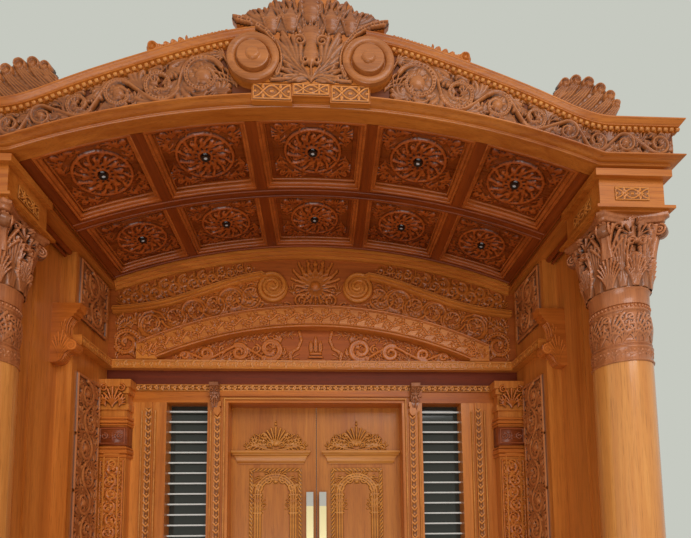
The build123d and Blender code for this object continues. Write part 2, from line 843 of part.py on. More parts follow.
def fan_ornament():
    """Right fan: a bank of curls that rise from the cornice and lean outwards."""
    foot = wall(-cornice_reach + fan_depth + seat_gap)
    with BuildPart() as fan:
        with BuildSketch(foot):
            ridge = [(x, z) for x, z, radius in fan_curls]
            ends = [(fan_inner, ogee_height(fan_inner) + 30), (fan_outer, ogee_height(fan_outer) + 16)]
            base = [(fan_outer, cornice_level - 5), (fan_inner, cornice_level - 5)]
            add(outline(ends[:1] + ridge + ends[1:] + base))
            add(ogee_strip(-140, seat_gap, front_end), mode=Mode.SUBTRACT)
        extrude(amount=fan_body_depth)
        with BuildSketch(foot):
            for x, z, radius in fan_curls:
                add(disc(x, z, radius, 16))
            add(ogee_strip(-140, seat_gap, front_end), mode=Mode.SUBTRACT)
        extrude(amount=fan_depth)
    return fan


right_fan = fan_ornament()
save(right_fan, "right_fan")
with BuildPart() as left_fan:
    add(right_fan.part)
    mirror(about=Plane.YZ, mode=Mode.REPLACE)
save(left_fan, "left_fan")

# Vault roof: a curved skin of boards over the ribs
roof_half = spring_half + roof_rest
with BuildPart() as vault_roof:
    with BuildSketch(wall(vault_depth)):
        with BuildLine():
            low = coffer_depth + seat_gap
            circle_low = arch_centre + low
            edge_low = circle_low + sqrt(arch_radius**2 - roof_half**2)
            ThreePointArc((-roof_half, edge_low), (0, circle_low + arch_radius), (roof_half, edge_low))
            ThreePointArc(
                (-roof_half, edge_low + roof_thickness),
                (0, circle_low + arch_radius + roof_thickness),
                (roof_half, edge_low + roof_thickness),
            )
            Line((-roof_half, edge_low), (-roof_half, edge_low + roof_thickness))
            Line((roof_half, edge_low), (roof_half, edge_low + roof_thickness))
        make_face()
    extrude(amount=vault_depth - fascia_back)
save(vault_roof, "vault_roof")


def rib_face():
    """Face of a cross rib: arched below, resting flat on the side beams at its ends."""
    circle = arch_centre + coffer_depth
    edge_top = circle + sqrt(arch_radius**2 - roof_half**2)
    with BuildSketch() as face:
        with BuildLine():
            arch_edge(0, roof_half)
            ThreePointArc((-roof_half, edge_top), (0, circle + arch_radius), (roof_half, edge_top))
            Line((-roof_half, spring_height), (-roof_half, edge_top))
            Line((roof_half, spring_height), (roof_half, edge_top))
        make_face()
    return face.sketch


# Cross ribs of the vault, in the middle and at the back, in five lengths that meet at the long ribs
with BuildPart() as vault_cross_ribs:
    for rib_front, rib_back in cross_rib_places:
        with BuildSketch(wall(rib_back)):
            add(rib_face())
        extrude(amount=rib_back - rib_front)
    cut_lengths(long_rib_places)
save(vault_cross_ribs, "vault_cross_ribs")

# Long ribs of the vault, cut between the cross ribs
bays = [(fascia_back, cross_rib_places[0][0]), (cross_rib_places[0][1], cross_rib_places[1][0])]
with BuildPart() as vault_long_ribs:
    for bay_front, bay_back in bays:
        with BuildSketch(wall(bay_back)):
            for place in long_rib_places + [spring_half - rib_width / 2]:
                for side in (-1, 1):
                    low_x = side * place - rib_width / 2
                    add(rectangle(low_x, low_x + rib_width, spring_height, cornice_level + arch_rise))
            add(rib_face(), mode=Mode.INTERSECT)
        extrude(amount=bay_back - bay_front)
save(vault_long_ribs, "vault_long_ribs")


def coffer_plane(x, depth):
    """Plane of a coffer board, its corners against the curved roof, facing down."""
    reach = sqrt(arch_radius**2 - (rosette_board[0] / 2) ** 2) - seat_gap
    tilt = asin(x / arch_radius)
    return Plane(
        origin=(reach * sin(tilt), front_y + depth, arch_centre + coffer_depth + reach * cos(tilt)),
        x_dir=(cos(tilt), 0, -sin(tilt)),
        z_dir=(-sin(tilt), 0, -cos(tilt)),
    )


rib_edges = [0.0, long_rib_places[0], long_rib_places[1], spring_half - rib_width / 2]
coffer_columns = [0.0] + [(rib_edges[i] + rib_edges[i + 1]) / 2 for i in (1, 2)]
coffer_columns += [-x for x in coffer_columns[1:]]
coffer_places = [(x, depth) for x in coffer_columns for depth in coffer_rows]

# Carved coffer boards: a ring of petals with leaf sprays in the corners
petal_foot, petal_length, petal_width = rosette_petal
spray_foot, spray_length, spray_width = rosette_spray
with BuildPart() as rosette:
    with BuildSketch(Plane.XY):
        Rectangle(*rosette_board)
        add(disc(0, 0, lamp_radius), mode=Mode.SUBTRACT)
    extrude(amount=rosette_board_depth)
    with BuildSketch(Plane.XY.offset(rosette_board_depth)):
        add(disc(0, 0, rosette_radius, 24))
        add(disc(0, 0, rosette_radius - rosette_ring_width, 24), mode=Mode.SUBTRACT)
        for i in range(rosette_petals):
            angle = 360 * i / rosette_petals
            turn = radians(angle)
            add(leaf(petal_foot * cos(turn), petal_foot * sin(turn), petal_length, petal_width, angle))
        for across in (-1, 1):
            for along in (-1, 1):
                angle = degrees(atan2(along, across))
                add(leaf(across * spray_foot, along * spray_foot, spray_length, spray_width, angle))
        add(disc(0, 0, lamp_radius + rosette_eye_ring, 16))
        add(disc(0, 0, lamp_radius, 12), mode=Mode.SUBTRACT)
        Rectangle(rosette_board[0] - 2 * rosette_edge, rosette_board[1] - 2 * rosette_edge, mode=Mode.INTERSECT)
    extrude(amount=rosette_relief)
with BuildPart() as coffer_rosettes:
    for x, depth in coffer_places:
        add(rosette.part.moved(coffer_plane(x, depth).location))
save(coffer_rosettes, "coffer_rosettes")

# Small ceiling lamps: a dark rim and a pale lens in the middle of each rosette
lamp_seat = rosette_board_depth + rosette_relief
with BuildPart() as lamp_rims:
    for x, depth in coffer_places:
        with BuildSketch(coffer_plane(x, depth).offset(lamp_seat)):
            Circle(lamp_radius + lamp_rim_reach)
            Circle(lamp_lens_radius, mode=Mode.SUBTRACT)
        extrude(amount=lamp_depth)
save(lamp_rims, "lamp_rims")

with BuildPart() as lamp_lenses:
    for x, depth in coffer_places:
        with BuildSketch(coffer_plane(x, depth)):
            Circle(lamp_lens_radius - seat_gap)
        extrude(amount=lamp_seat + lamp_depth / 2)
save(lamp_lenses, "lamp_lenses")

# Side beams that carry the edges of the vault
with BuildPart() as edge_beams:
    with BuildSketch(Plane.XY.offset(spring_height - edge_beam_depth)):
        with Locations((spring_half + edge_beam_width / 2, front_y + (block_size + vault_depth) / 2)):
            Rectangle(edge_beam_width, vault_depth - block_size)
    extrude(amount=edge_beam_depth)
    mirror(about=Plane.YZ)
save(edge_beams, "edge_beams")

wall_top = spring_height - edge_beam_depth


def side_panel(side):
    """Plain side wall between the column and the pier, with an upright moulding."""
    with BuildPart() as panel:
        with BuildSketch(Plane.XY):
            with Locations((side * (side_face + side_thickness / 2), front_y + (side_front + pier_front) / 2)):
                Rectangle(side_thickness, pier_front - side_front)
            with Locations(
                (side * (side_face - side_strip_depth / 2),
                 front_y + side_strip_place + side_strip_width / 2)
            ):
                Rectangle(side_strip_depth, side_strip_width)
        extrude(amount=wall_top)
    return panel


left_side_panel = side_panel(-1)
save(left_side_panel, "left_side_panel")
right_side_panel = side_panel(1)
save(right_side_panel, "right_side_panel")


def pier(side):
    """Square pier at the back corner of the porch."""
    outer = side_face + side_thickness
    with BuildPart() as post:
        with BuildSketch(Plane.XY):
            with Locations((side * (pier_face + outer) / 2, front_y + (pier_front + back) / 2)):
                Rectangle(outer - pier_face, back - pier_front)
        extrude(amount=wall_top)
    return post


left_pier = pier(-1)
save(left_pier, "left_pier")
right_pier = pier(1)
save(right_pier, "right_pier")

# Carved panels on the inner faces of the piers, one high and one low on each
pier_inside = Plane(origin=(-pier_face, front_y, 0), x_dir=(0, 1, 0), z_dir=(1, 0, 0))
with BuildPart() as pier_carvings:
    for front, end, low, high in (upper_panel, lower_panel):
        width = end - front
        middle = (front + end) / 2
        with BuildSketch(pier_inside):
            add(rectangle(front, end, low, high))
        extrude(amount=0.4 * pier_carving_depth)
        with BuildSketch(pier_inside):
            add(rectangle(front, end, low, high))
            edge = pier_panel_edge
            add(rectangle(front + edge, end - edge, low + edge, high - edge), mode=Mode.SUBTRACT)
            radius = width / 2 - edge - 4
            turns = max(1, round((high - low - 2 * edge) / (1.9 * radius)))
            for i in range(turns):
                z = low + edge + (high - low - 2 * edge) * (i + 0.5) / turns
                turn = 1 if i % 2 else -1
                add(spiral(middle, z, 0.84 * radius, 90 * turn, 1.25 * turn, 0.3 * radius, 12))
                add(disc(middle, z, 0.24 * radius, 8))
        extrude(amount=pier_carving_depth)
    mirror(about=Plane.YZ)
save(pier_carvings, "pier_carvings")

# Brackets at the front of the piers, rolled over a small scroll
with BuildPart() as consoles:
    bracket = Plane(origin=(pier_face, front_y + pier_front, 0), x_dir=(0, -1, 0), z_dir=(-1, 0, 0))
    with BuildSketch(bracket.offset(-(side_face - pier_face))):
        add(outline([(x, console_low + z) for x, z in console_outline]))
        with Locations((console_reach - 8, console_low + 136)):
            Circle(console_roll / 2)
    extrude(amount=console_width)
    mirror(about=Plane.YZ)
save(consoles, "consoles")

# Flat board that closes the back of the vault
with BuildPart() as lunette_board:
    with BuildSketch(wall(vault_depth + lunette_thickness)):
        with BuildLine():
            circle = arch_centre + coffer_depth + seat_gap + roof_thickness
            edge_top = circle + sqrt(arch_radius**2 - roof_half**2)
            shelf_top = shelf_low + shelf_height
            Polyline(
                (-roof_half, edge_top),
                (-roof_half, wall_top),
                (-pier_face, wall_top),
                (-pier_face, shelf_top),
                (pier_face, shelf_top),
                (pier_face, wall_top),
                (roof_half, wall_top),
                (roof_half, edge_top),
            )
            ThreePointArc((-roof_half, edge_top), (0, circle + arch_radius), (roof_half, edge_top))
        make_face()
    extrude(amount=lunette_thickness)
save(lunette_board, "lunette_board")

# Stepped moulding under the vault along the back board
with BuildPart() as lunette_cornice:
    for share, reach in ((1.0, 0.4), (0.66, 0.7), (0.33, 1.0)):
        with BuildSketch(wall(vault_depth)):
            add(arch_strip(-lunette_cornice_height * share, -seat_gap, spring_half - 1))
        extrude(amount=lunette_cornice_reach * reach)
save(lunette_cornice, "lunette_cornice")


def below_vault():
    """Face of the back board that shows, between the shelf and the moulding under the vault."""
    with BuildSketch() as face:
        add(arch_strip(-lunette_cornice_height - 900, -lunette_cornice_height - 1, spring_half - 1))
        add(rectangle(-spring_half, spring_half, 0, shelf_low + shelf_height + 1), mode=Mode.SUBTRACT)
    return face.sketch


# Pair of swan-necked mouldings that roll into volutes beside the middle
with BuildPart() as swan_scrolls:
    with BuildSketch(wall(vault_depth)):
        with BuildLine():
            lower_run = [(x, z - swan_thickness) for x, z in swan_line]
            Spline(*swan_line)
            Spline(*lower_run)
            Line(swan_line[0], lower_run[0])
            Line(swan_line[-1], lower_run[-1])
        make_face()
        add(below_vault(), mode=Mode.INTERSECT)
        with Locations((swan_eye_x, swan_eye_z)):
            Circle(swan_eye_radius)
    extrude(amount=swan_reach)
    for share, extra in swan_steps:
        with BuildSketch(wall(vault_depth)):
            with Locations((swan_eye_x, swan_eye_z)):
                Circle(share * swan_eye_radius)
        extrude(amount=swan_reach + extra)
    mirror(about=Plane.YZ)
save(swan_scrolls, "swan_scrolls")

band_outer_radius = ((band_outer_top - band_outer_foot) ** 2 + band_outer_half**2) / (
    2 * (band_outer_top - band_outer_foot))


def band_outer_height(x):
    """Height of the upper edge of the carved arch band at x."""
    return band_outer_top - band_outer_radius + sqrt(band_outer_radius**2 - x**2)


def swan_height(x):
    """Height of the underside of the swan-necked moulding at x, by straight steps."""
    for (outer, low), (inner, high) in zip(swan_line, swan_line[1:]):
        if x >= inner:
            return low + (high - low) * (outer - x) / (outer - inner) - swan_thickness
    return swan_line[-1][1] - swan_thickness


# Scrollwork on the back board: runs of spirals above and below the swan necks, leaves in the middle
with BuildPart() as lunette_carving:
    with BuildSketch(wall(vault_depth)):
        for i, x in enumerate(lunette_scrolls):
            low = band_outer_height(min(x, band_outer_half))
            high = swan_height(x)
            middle = (low + high) / 2
            radius = min(0.42 * (high - low), lunette_scroll_limit)
            turn = 1 if i % 2 else -1
            for side in (-1, 1):
                start = 90 - 90 * side + side * 90 * turn
                add(spiral(side * x, middle, 0.84 * radius, start, side * 1.25 * turn, 0.26 * radius, 14))
                add(disc(side * x, middle, 0.26 * radius, 8))
        for x in lunette_leaves:
            high = arch_height(x, -lunette_cornice_height)
            middle = (high + swan_height(x) + swan_thickness) / 2
            length = 0.8 * (high - swan_height(x) - swan_thickness)
            for side in (-1, 1):
                add(leaf(side * x, middle, 1.5 * length, 0.7 * length, 90 - side * 60))
        for angle, length in lunette_sprays:
            add(leaf(0, swan_eye_z - 20, length, lunette_spray_width, angle))
        add(below_vault(), mode=Mode.INTERSECT)
        with Locations((swan_eye_x, swan_eye_z), (-swan_eye_x, swan_eye_z)):
            Circle(swan_eye_radius + 1, mode=Mode.SUBTRACT)
        for side in (-1, 1):
            with BuildLine():
                upper_run = [(side * x, z + 1) for x, z in swan_line]
                lower_run = [(side * x, z - swan_thickness - 1) for x, z in swan_line]
                Spline(*upper_run)
                Spline(*lower_run)
                Line(upper_run[0], lower_run[0])
                Line(upper_run[-1], lower_run[-1])
            make_face(mode=Mode.SUBTRACT)
        with BuildLine():
            outer = band_outer_half + 1
            ThreePointArc((-outer, band_outer_foot + 1), (0, band_outer_top + 1), (outer, band_outer_foot + 1))
            Polyline((-outer, band_outer_foot + 1), (-outer, 0), (outer, 0), (outer, band_outer_foot + 1))
        make_face(mode=Mode.SUBTRACT)
    extrude(amount=lunette_relief)
save(lunette_carving, "lunette_carving")

# Carved arch band over the lower panel, standing on the shelf
band_foot = shelf_low + shelf_height
with BuildPart() as arch_band:
    with BuildSketch(wall(vault_depth)):
        with BuildLine():
            ThreePointArc(
                (-band_outer_half, band_outer_foot), (0, band_outer_top), (band_outer_half, band_outer_foot)
            )
            ThreePointArc(
                (-band_inner_half, band_inner_foot), (0, band_inner_top), (band_inner_half, band_inner_foot)
            )
            for side in (-1, 1):
                Polyline(
                    (side * band_outer_half, band_outer_foot),
                    (side * band_outer_half, band_foot),
                    (side * band_inner_half, band_foot),
                    (side * band_inner_half, band_inner_foot),
                )
        make_face()
    extrude(amount=band_reach)
save(arch_band, "arch_band")

# Scrollwork under the arch band, with a small three-flamed lamp in the middle
with BuildPart() as tympanum_carving:
    with BuildSketch(wall(vault_depth)):
        for i, (x, radius) in enumerate(tympanum_scrolls):
            middle = band_foot + tympanum_foot + radius
            turn = 1 if i % 2 else -1
            for side in (-1, 1):
                start = 90 - 90 * side + side * 90 * turn
                add(spiral(side * x, middle, 0.84 * radius, start, side * 1.25 * turn, 0.3 * radius, 14))
                add(disc(side * x, middle, 0.26 * radius, 8))
                add(leaf(side * x, band_foot + 10, 1.5 * radius, 0.6 * radius, 90 - side * 50))
        for half, low, high in emblem_steps:
            add(rectangle(-half, half, band_foot + low, band_foot + high))
        for x, length in emblem_flames:
            add(leaf(x, band_foot + emblem_steps[-1][2] - 4, length, emblem_flame_width, 90))
    extrude(amount=lunette_relief)
save(tympanum_carving, "tympanum_carving")

# Shelf over the doors, returned along the inner faces of the piers
with BuildPart() as lintel_shelf:
    inner = pier_face - shelf_reach
    with BuildSketch(Plane.XY.offset(shelf_low)):
        with Locations((0, front_y + vault_depth + (back - vault_depth - shelf_reach) / 2)):
            Rectangle(2 * pier_face, back - vault_depth + shelf_reach)
        shelf_side = (pier_front + vault_depth) / 2
        with Locations(((pier_face + inner) / 2, front_y + shelf_side),
                       (-(pier_face + inner) / 2, front_y + shelf_side)):
            Rectangle(shelf_reach, vault_depth - pier_front)
    extrude(amount=shelf_height)
save(lintel_shelf, "lintel_shelf")

# Plain beam under the shelf
with BuildPart() as lintel_beam:
    with BuildSketch(wall(back)):
        add(rectangle(-pier_face, pier_face, beam_low, shelf_low))
    extrude(amount=frame_depth)
save(lintel_beam, "lintel_beam")

# Head of the door frame with a raised strip, rebated at the back for the leaves
with BuildPart() as door_header:
    with BuildSketch(wall(back)):
        add(rectangle(-pilaster_inner, pilaster_inner, header_low, beam_low))
    extrude(amount=frame_depth)
    with BuildSketch(wall(back)):
        rebate = opening_half + leaf_lap
        add(rectangle(-rebate, rebate, header_low - 1, header_low + leaf_lap))
    extrude(amount=leaf_thickness, mode=Mode.SUBTRACT)
    strip_low = (header_low + beam_low - frame_strip_width) / 2
    with BuildSketch(wall(vault_depth)):
        add(rectangle(-mullion_outer, mullion_outer, strip_low, strip_low + frame_strip_width))
    extrude(amount=frame_strip_depth)
save(door_header, "door_header")

# Mullions between the doors and the sidelights, with a raised strip and a corbel at the head
with BuildPart() as mullions:
    with BuildSketch(wall(back)):
        add(rectangle(opening_half, mullion_outer, 0, header_low))
    extrude(amount=frame_depth)
    with BuildSketch(wall(back)):
        add(rectangle(opening_half - 1, opening_half + leaf_lap, threshold_height, header_low))
    extrude(amount=leaf_thickness, mode=Mode.SUBTRACT)
    mullion_middle = (opening_half + mullion_outer) / 2
    strip_half = frame_strip_width / 2
    block_half = mullion_block[0]
    block_low = header_low - mullion_block[1]
    drop_inset, drop_length, drop_width = mullion_drop
    with BuildSketch(wall(vault_depth)):
        add(rectangle(mullion_middle - strip_half, mullion_middle + strip_half, 0, block_low))
    extrude(amount=frame_strip_depth)
    with BuildSketch(wall(vault_depth)):
        add(rectangle(mullion_middle - block_half, mullion_middle + block_half, block_low, header_low))
        add(leaf(mullion_middle, header_low - drop_inset, drop_length, drop_width, 270))
    extrude(amount=corbel_depth)
    mirror(about=Plane.YZ)
save(mullions, "mullions")

# Outer jambs beside the sidelights
with BuildPart() as outer_jambs:
    with BuildSketch(wall(back)):
        add(rectangle(sidelight_outer, pilaster_inner, 0, header_low))
    extrude(amount=frame_depth)
    jamb_middle = (sidelight_outer + pilaster_inner) / 2
    with BuildSketch(wall(vault_depth)):
        add(rectangle(jamb_middle - strip_half, jamb_middle + strip_half, 0, header_low))
    extrude(amount=frame_strip_depth)
    mirror(about=Plane.YZ)
save(outer_jambs, "outer_jambs")

# Pilasters in the back corners: a post with a moulded cap, a small block and a carved shaft panel
with BuildPart() as pilasters:
    with BuildSketch(wall(back)):
        add(rectangle(pilaster_inner, pier_face, 0, beam_low))
    extrude(amount=frame_depth)
    with BuildSketch(wall(vault_depth)):
        add(rectangle(pilaster_inner, pier_face, 0, beam_low))
    extrude(amount=pilaster_reach)
    cap_height = beam_low - pilaster_cap_low
    for low, high, reach in pilaster_cap_courses:
        extra = pilaster_cap_reach * reach
        with BuildSketch(wall(vault_depth)):
            add(rectangle(pilaster_inner - extra, pier_face,
                          pilaster_cap_low + low * cap_height, pilaster_cap_low + high * cap_height))
        extrude(amount=pilaster_reach + extra)
    pilaster_middle = (pilaster_inner + pier_face) / 2
    with BuildSketch(wall(vault_depth - pilaster_reach)):
        inset, block_foot, block_head = pilaster_block
        half = shaft_panel_half
        inner_half = half - shaft_panel_rim
        inner_top = shaft_panel_top - shaft_panel_rim
        add(rectangle(pilaster_inner + inset, pier_face - inset, block_foot, block_head))
        add(rectangle(pilaster_middle - half, pilaster_middle + half, 0, shaft_panel_top))
        add(rectangle(pilaster_middle - inner_half, pilaster_middle + inner_half, shaft_panel_rim, inner_top),
            mode=Mode.SUBTRACT)
        for i in range(shaft_scrolls):
            z = shaft_panel_top - shaft_scroll_pitch * (i + 0.67)
            turn = 1 if i % 2 else -1
            add(spiral(pilaster_middle, z, shaft_scroll_radius, 90 * turn, 1.2 * turn, 12, 10))
    extrude(amount=pilaster_relief)
    mirror(about=Plane.YZ)
save(pilasters, "pilasters")

# Wooden aprons under the sidelights
with BuildPart() as sidelight_aprons:
    with BuildSketch(wall(back)):
        add(rectangle(mullion_outer, sidelight_outer, 0, apron_top))
    extrude(amount=frame_depth)
    with BuildSketch(wall(vault_depth)):
        edge, panel_low, panel_drop = apron_panel
        add(rectangle(mullion_outer + edge, sidelight_outer - edge, panel_low, apron_top - panel_drop))
    extrude(amount=frame_strip_depth)
    mirror(about=Plane.YZ)
save(sidelight_aprons, "sidelight_aprons")

# Fixed panes of the sidelights
with BuildPart() as sidelight_glass:
    with BuildSketch(wall(vault_depth + glass_depth + glass_thickness)):
        add(rectangle(mullion_outer, sidelight_outer, apron_top, header_low))
    extrude(amount=glass_thickness)
    mirror(about=Plane.YZ)
save(sidelight_glass, "sidelight_glass")

# Level white bars in front of the panes, housed between the mullion and the jamb
bar_count = int((header_low - apron_top) / bar_pitch)
with BuildPart() as sidelight_bars:
    with BuildSketch(wall(vault_depth + bar_front + bar_depth)):
        for i in range(bar_count):
            z = header_low - bar_pitch * (i + 0.6)
            add(rectangle(mullion_outer, sidelight_outer, z - bar_height, z))
    extrude(amount=bar_depth)
    mirror(about=Plane.YZ)
save(sidelight_bars, "sidelight_bars")

# Threshold between the mullions
with BuildPart() as threshold:
    with BuildSketch(wall(back)):
        add(rectangle(-opening_half, opening_half, 0, threshold_height))
    extrude(amount=frame_depth)
save(threshold, "threshold")


def door_leaf(side):
    """Plain leaf; the right one carries a narrow strip beside the meeting line."""
    with BuildPart() as slab:
        with BuildSketch(wall(back)):
            low = threshold_height + leaf_foot_gap
            edges = sorted((side * leaf_gap, side * leaf_edge))
            add(rectangle(*edges, low, leaf_top))
        extrude(amount=leaf_thickness)
        if side > 0:
            strip_in, strip_out, strip_depth = meeting_strip
            with BuildSketch(wall(leaf_front)):
                add(rectangle(leaf_gap + strip_in, leaf_gap + strip_out, low, header_low - leaf_gap))
            extrude(amount=strip_depth)
    return slab


left_leaf = door_leaf(-1)
save(left_leaf, "left_leaf")
right_leaf = door_leaf(1)
save(right_leaf, "right_leaf")


def leaf_carving():
    """Carved work on the right leaf: crest, cornice, roped frame and an arched panel."""
    inner, outer, low, high = leaf_cornice
    middle = (leaf_rope[0] + leaf_rope[1]) / 2
    with BuildPart() as work:
        for share, reach in leaf_cornice_courses:
            inset = (1 - reach) * leaf_cornice_inset
            with BuildSketch(wall(leaf_front)):
                add(rectangle(inner + inset, outer - inset, low + share * (high - low), high))
            extrude(amount=leaf_cornice_reach * reach)
        with BuildSketch(wall(leaf_front)):
            height = leaf_crest_top - high
            for angle, length in leaf_crest_fan:
                add(leaf(middle, high - 6, length * height + 6, 0.34 * height, angle))
            scroll_place, scroll_length, scroll_width, scroll_lean = leaf_crest_scroll
            for side in (-1, 1):
                turn = 90 - side * scroll_lean
                add(leaf(middle + side * scroll_place, high - 4, scroll_length, scroll_width, turn))
            foot_half, foot_height = leaf_crest_foot
            add(rectangle(middle - foot_half, middle + foot_half, high, high + foot_height))
            add(rectangle(inner, outer, high, header_low), mode=Mode.INTERSECT)
        extrude(amount=leaf_crest_depth)
        with BuildSketch(wall(leaf_front)):
            rope_in, rope_out, rope_top = leaf_rope
            add(rectangle(rope_in, rope_out, leaf_panel_low, rope_top))
            add(rectangle(rope_in + leaf_rope_width, rope_out - leaf_rope_width,
                          leaf_panel_low + leaf_rope_width, rope_top - leaf_rope_width), mode=Mode.SUBTRACT)
        extrude(amount=leaf_rope_depth)
        with BuildSketch(wall(leaf_front)):
            panel_half = (rope_out - rope_in) / 2 - leaf_rope_width - leaf_arch_clear
            spring = rope_top - leaf_arch_drop
            with Locations((middle, spring)):
                Circle(panel_half)
                Circle(panel_half - leaf_arch_width, mode=Mode.SUBTRACT)
            add(rectangle(middle - panel_half, middle + panel_half, 0, spring), mode=Mode.SUBTRACT)
            foot = leaf_panel_low + leaf_rope_width + leaf_arch_clear
            for side in (-1, 1):
                edges = sorted((middle + side * panel_half, middle + side * (panel_half - leaf_arch_width)))
                add(rectangle(*edges, foot, spring))
            crown_inset, crown_length, crown_width = leaf_arch_crown
            add(leaf(middle, spring + panel_half - crown_inset, crown_length, crown_width, 90))
            add(rectangle(rope_in, rope_out, rope_top - leaf_rope_width - 1, rope_top), mode=Mode.SUBTRACT)
        extrude(amount=leaf_arch_depth)
    return work


right_leaf_carving = leaf_carving()
save(right_leaf_carving, "right_leaf_carving")
with BuildPart() as left_leaf_carving:
    add(right_leaf_carving.part)
    mirror(about=Plane.YZ, mode=Mode.REPLACE)
save(left_leaf_carving, "left_leaf_carving")


def door_pull(side):
    """Long flat pull on two square posts."""
    inner, outer = sorted((side * pull_place[0], side * pull_place[1]))
    middle = (inner + outer) / 2
    half = pull_post_size / 2
    with BuildPart() as pull:
        with BuildSketch(wall(leaf_front - pull_stand)):
            add(rectangle(inner, outer, pull_low, pull_top))
        extrude(amount=pull_depth)
        with BuildSketch(wall(leaf_front)):
            for z in (pull_low + pull_post_inset, pull_top - pull_post_inset):
                add(rectangle(middle - half, middle + half, z - half, z + half))
        extrude(amount=pull_stand)
    return pull


left_pull = door_pull(-1)
save(left_pull, "left_pull")
right_pull = door_pull(1)
save(right_pull, "right_pull")

# Butt hinges on the back faces, pins upright on the line between leaf and frame
hinge_x = opening_half + leaf_lap - leaf_gap / 2
hinge_y = front_y + back + hinge_radius
knuckle = hinge_height / 3


def hinge_plate(low_x, high_x, low_z, high_z):
    """Thin plate on the back face."""
    return Box(
        high_x - low_x,
        hinge_plate_depth,
        high_z - low_z,
        align=(Align.MIN, Align.MIN, Align.MIN),
        mode=Mode.PRIVATE,
    ).moved(Location((low_x, front_y + back, low_z)))


with BuildPart() as right_leaf_hinges:
    for height in hinge_heights:
        with BuildSketch(Plane.XY.offset(height + knuckle + hinge_clearance)):
            with Locations((hinge_x, hinge_y)):
                Circle(hinge_radius)
        extrude(amount=knuckle - 2 * hinge_clearance)
        add(hinge_plate(hinge_x - hinge_radius, hinge_x - hinge_pin_radius - hinge_plate_gap,
                        height + knuckle + hinge_clearance, height + 2 * knuckle - hinge_clearance))
        add(hinge_plate(hinge_x - hinge_plate_width - hinge_radius, hinge_x - hinge_radius - hinge_plate_gap,
                        height, height + hinge_height))
        add(hinge_plate(hinge_x - hinge_radius - hinge_plate_lap, hinge_x - hinge_radius + hinge_plate_gap,
                        height + knuckle + hinge_clearance, height + 2 * knuckle - hinge_clearance))
        with BuildSketch(Plane.XY.offset(height)):
            with Locations((hinge_x, hinge_y)):
                Circle(hinge_pin_radius + hinge_clearance)
        extrude(amount=hinge_height, mode=Mode.SUBTRACT)
save(right_leaf_hinges, "right_leaf_hinges")
with BuildPart() as left_leaf_hinges:
    add(right_leaf_hinges.part)
    mirror(about=Plane.YZ, mode=Mode.REPLACE)
save(left_leaf_hinges, "left_leaf_hinges")

with BuildPart() as frame_hinges:
    for height in hinge_heights:
        for low in (height, height + 2 * knuckle):
            with BuildSketch(Plane.XY.offset(low)):
                with Locations((hinge_x, hinge_y)):
                    Circle(hinge_radius)
            extrude(amount=knuckle)
            add(hinge_plate(hinge_x + hinge_plate_gap, hinge_x + hinge_radius + hinge_plate_lap, low, low + knuckle))
        with BuildSketch(Plane.XY.offset(height)):
            with Locations((hinge_x, hinge_y)):
                Circle(hinge_pin_radius)
        extrude(amount=hinge_height)
        add(hinge_plate(hinge_x + hinge_radius + hinge_plate_gap, hinge_x + hinge_plate_width + hinge_radius,
                        height, height + hinge_height))
    mirror(about=Plane.YZ)
save(frame_hinges, "frame_hinges")
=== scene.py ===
from math import acos, atan2, cos, degrees, hypot, pi, radians, sin, sqrt

import bpy
import numpy as np
from mathutils import Matrix, Vector


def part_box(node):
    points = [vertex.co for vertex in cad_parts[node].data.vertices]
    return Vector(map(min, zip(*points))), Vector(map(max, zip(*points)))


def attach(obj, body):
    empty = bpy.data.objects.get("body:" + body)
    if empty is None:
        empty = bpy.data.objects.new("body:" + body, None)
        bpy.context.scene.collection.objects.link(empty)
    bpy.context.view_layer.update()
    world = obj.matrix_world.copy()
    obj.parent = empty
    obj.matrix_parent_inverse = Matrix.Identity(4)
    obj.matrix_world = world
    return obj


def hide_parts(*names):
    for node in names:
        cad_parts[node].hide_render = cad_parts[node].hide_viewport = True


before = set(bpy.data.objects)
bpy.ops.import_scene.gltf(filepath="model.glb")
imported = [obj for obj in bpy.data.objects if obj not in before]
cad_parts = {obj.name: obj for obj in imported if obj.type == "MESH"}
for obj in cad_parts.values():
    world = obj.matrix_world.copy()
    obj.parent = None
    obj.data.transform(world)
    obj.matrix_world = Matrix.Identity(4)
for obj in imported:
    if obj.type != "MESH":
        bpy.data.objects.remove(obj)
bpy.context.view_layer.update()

# How far the frieze stands in front of the column blocks, and the crest in front of the frieze
FRIEZE_PROUD = 0.03

# Places taken from the frame, in metres
frieze_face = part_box("arch_frieze")[0].y
block_face = frieze_face + FRIEZE_PROUD
crest_face = frieze_face - FRIEZE_PROUD
screen_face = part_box("lunette_board")[0].y
leaf_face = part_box("left_leaf")[0].y
shaft_low, shaft_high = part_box("right_column_shaft")
column_x = (shaft_low.x + shaft_high.x) / 2
column_y = (shaft_low.y + shaft_high.y) / 2
shaft_top = shaft_high.z
collar_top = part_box("column_collars")[1].z
capital_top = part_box("right_capital")[1].z
shelf_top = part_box("lintel_shelf")[1].z

# Arch, cornice top and mouldings of the front, as the solids have them, in metres
SPRING_HALF = 1.25
SPRING_HEIGHT = 3.167
ARCH_RISE = 0.23
ARCH_RADIUS = (SPRING_HALF**2 + ARCH_RISE**2) / (2 * ARCH_RISE)
ARCH_CENTRE = SPRING_HEIGHT + ARCH_RISE - ARCH_RADIUS
CORNICE_LEVEL = 3.357
OGEE_X = np.array([0.0, 0.38, 0.69, 1.016, 1.3])
OGEE_RISE = np.array([0.378, 0.33, 0.224, 0.093, 0.0])
FRONT_END = 1.545
FASCIA_BACK = 0.05
ARCHITRAVE_TOP = 0.028
CORNICE_DROP = 0.048
FRIEZE_END = 1.575
KEYSTONE_HALF = 0.25
VOLUTE_X, VOLUTE_Z, VOLUTE_RADIUS = 0.242, 3.572, 0.11


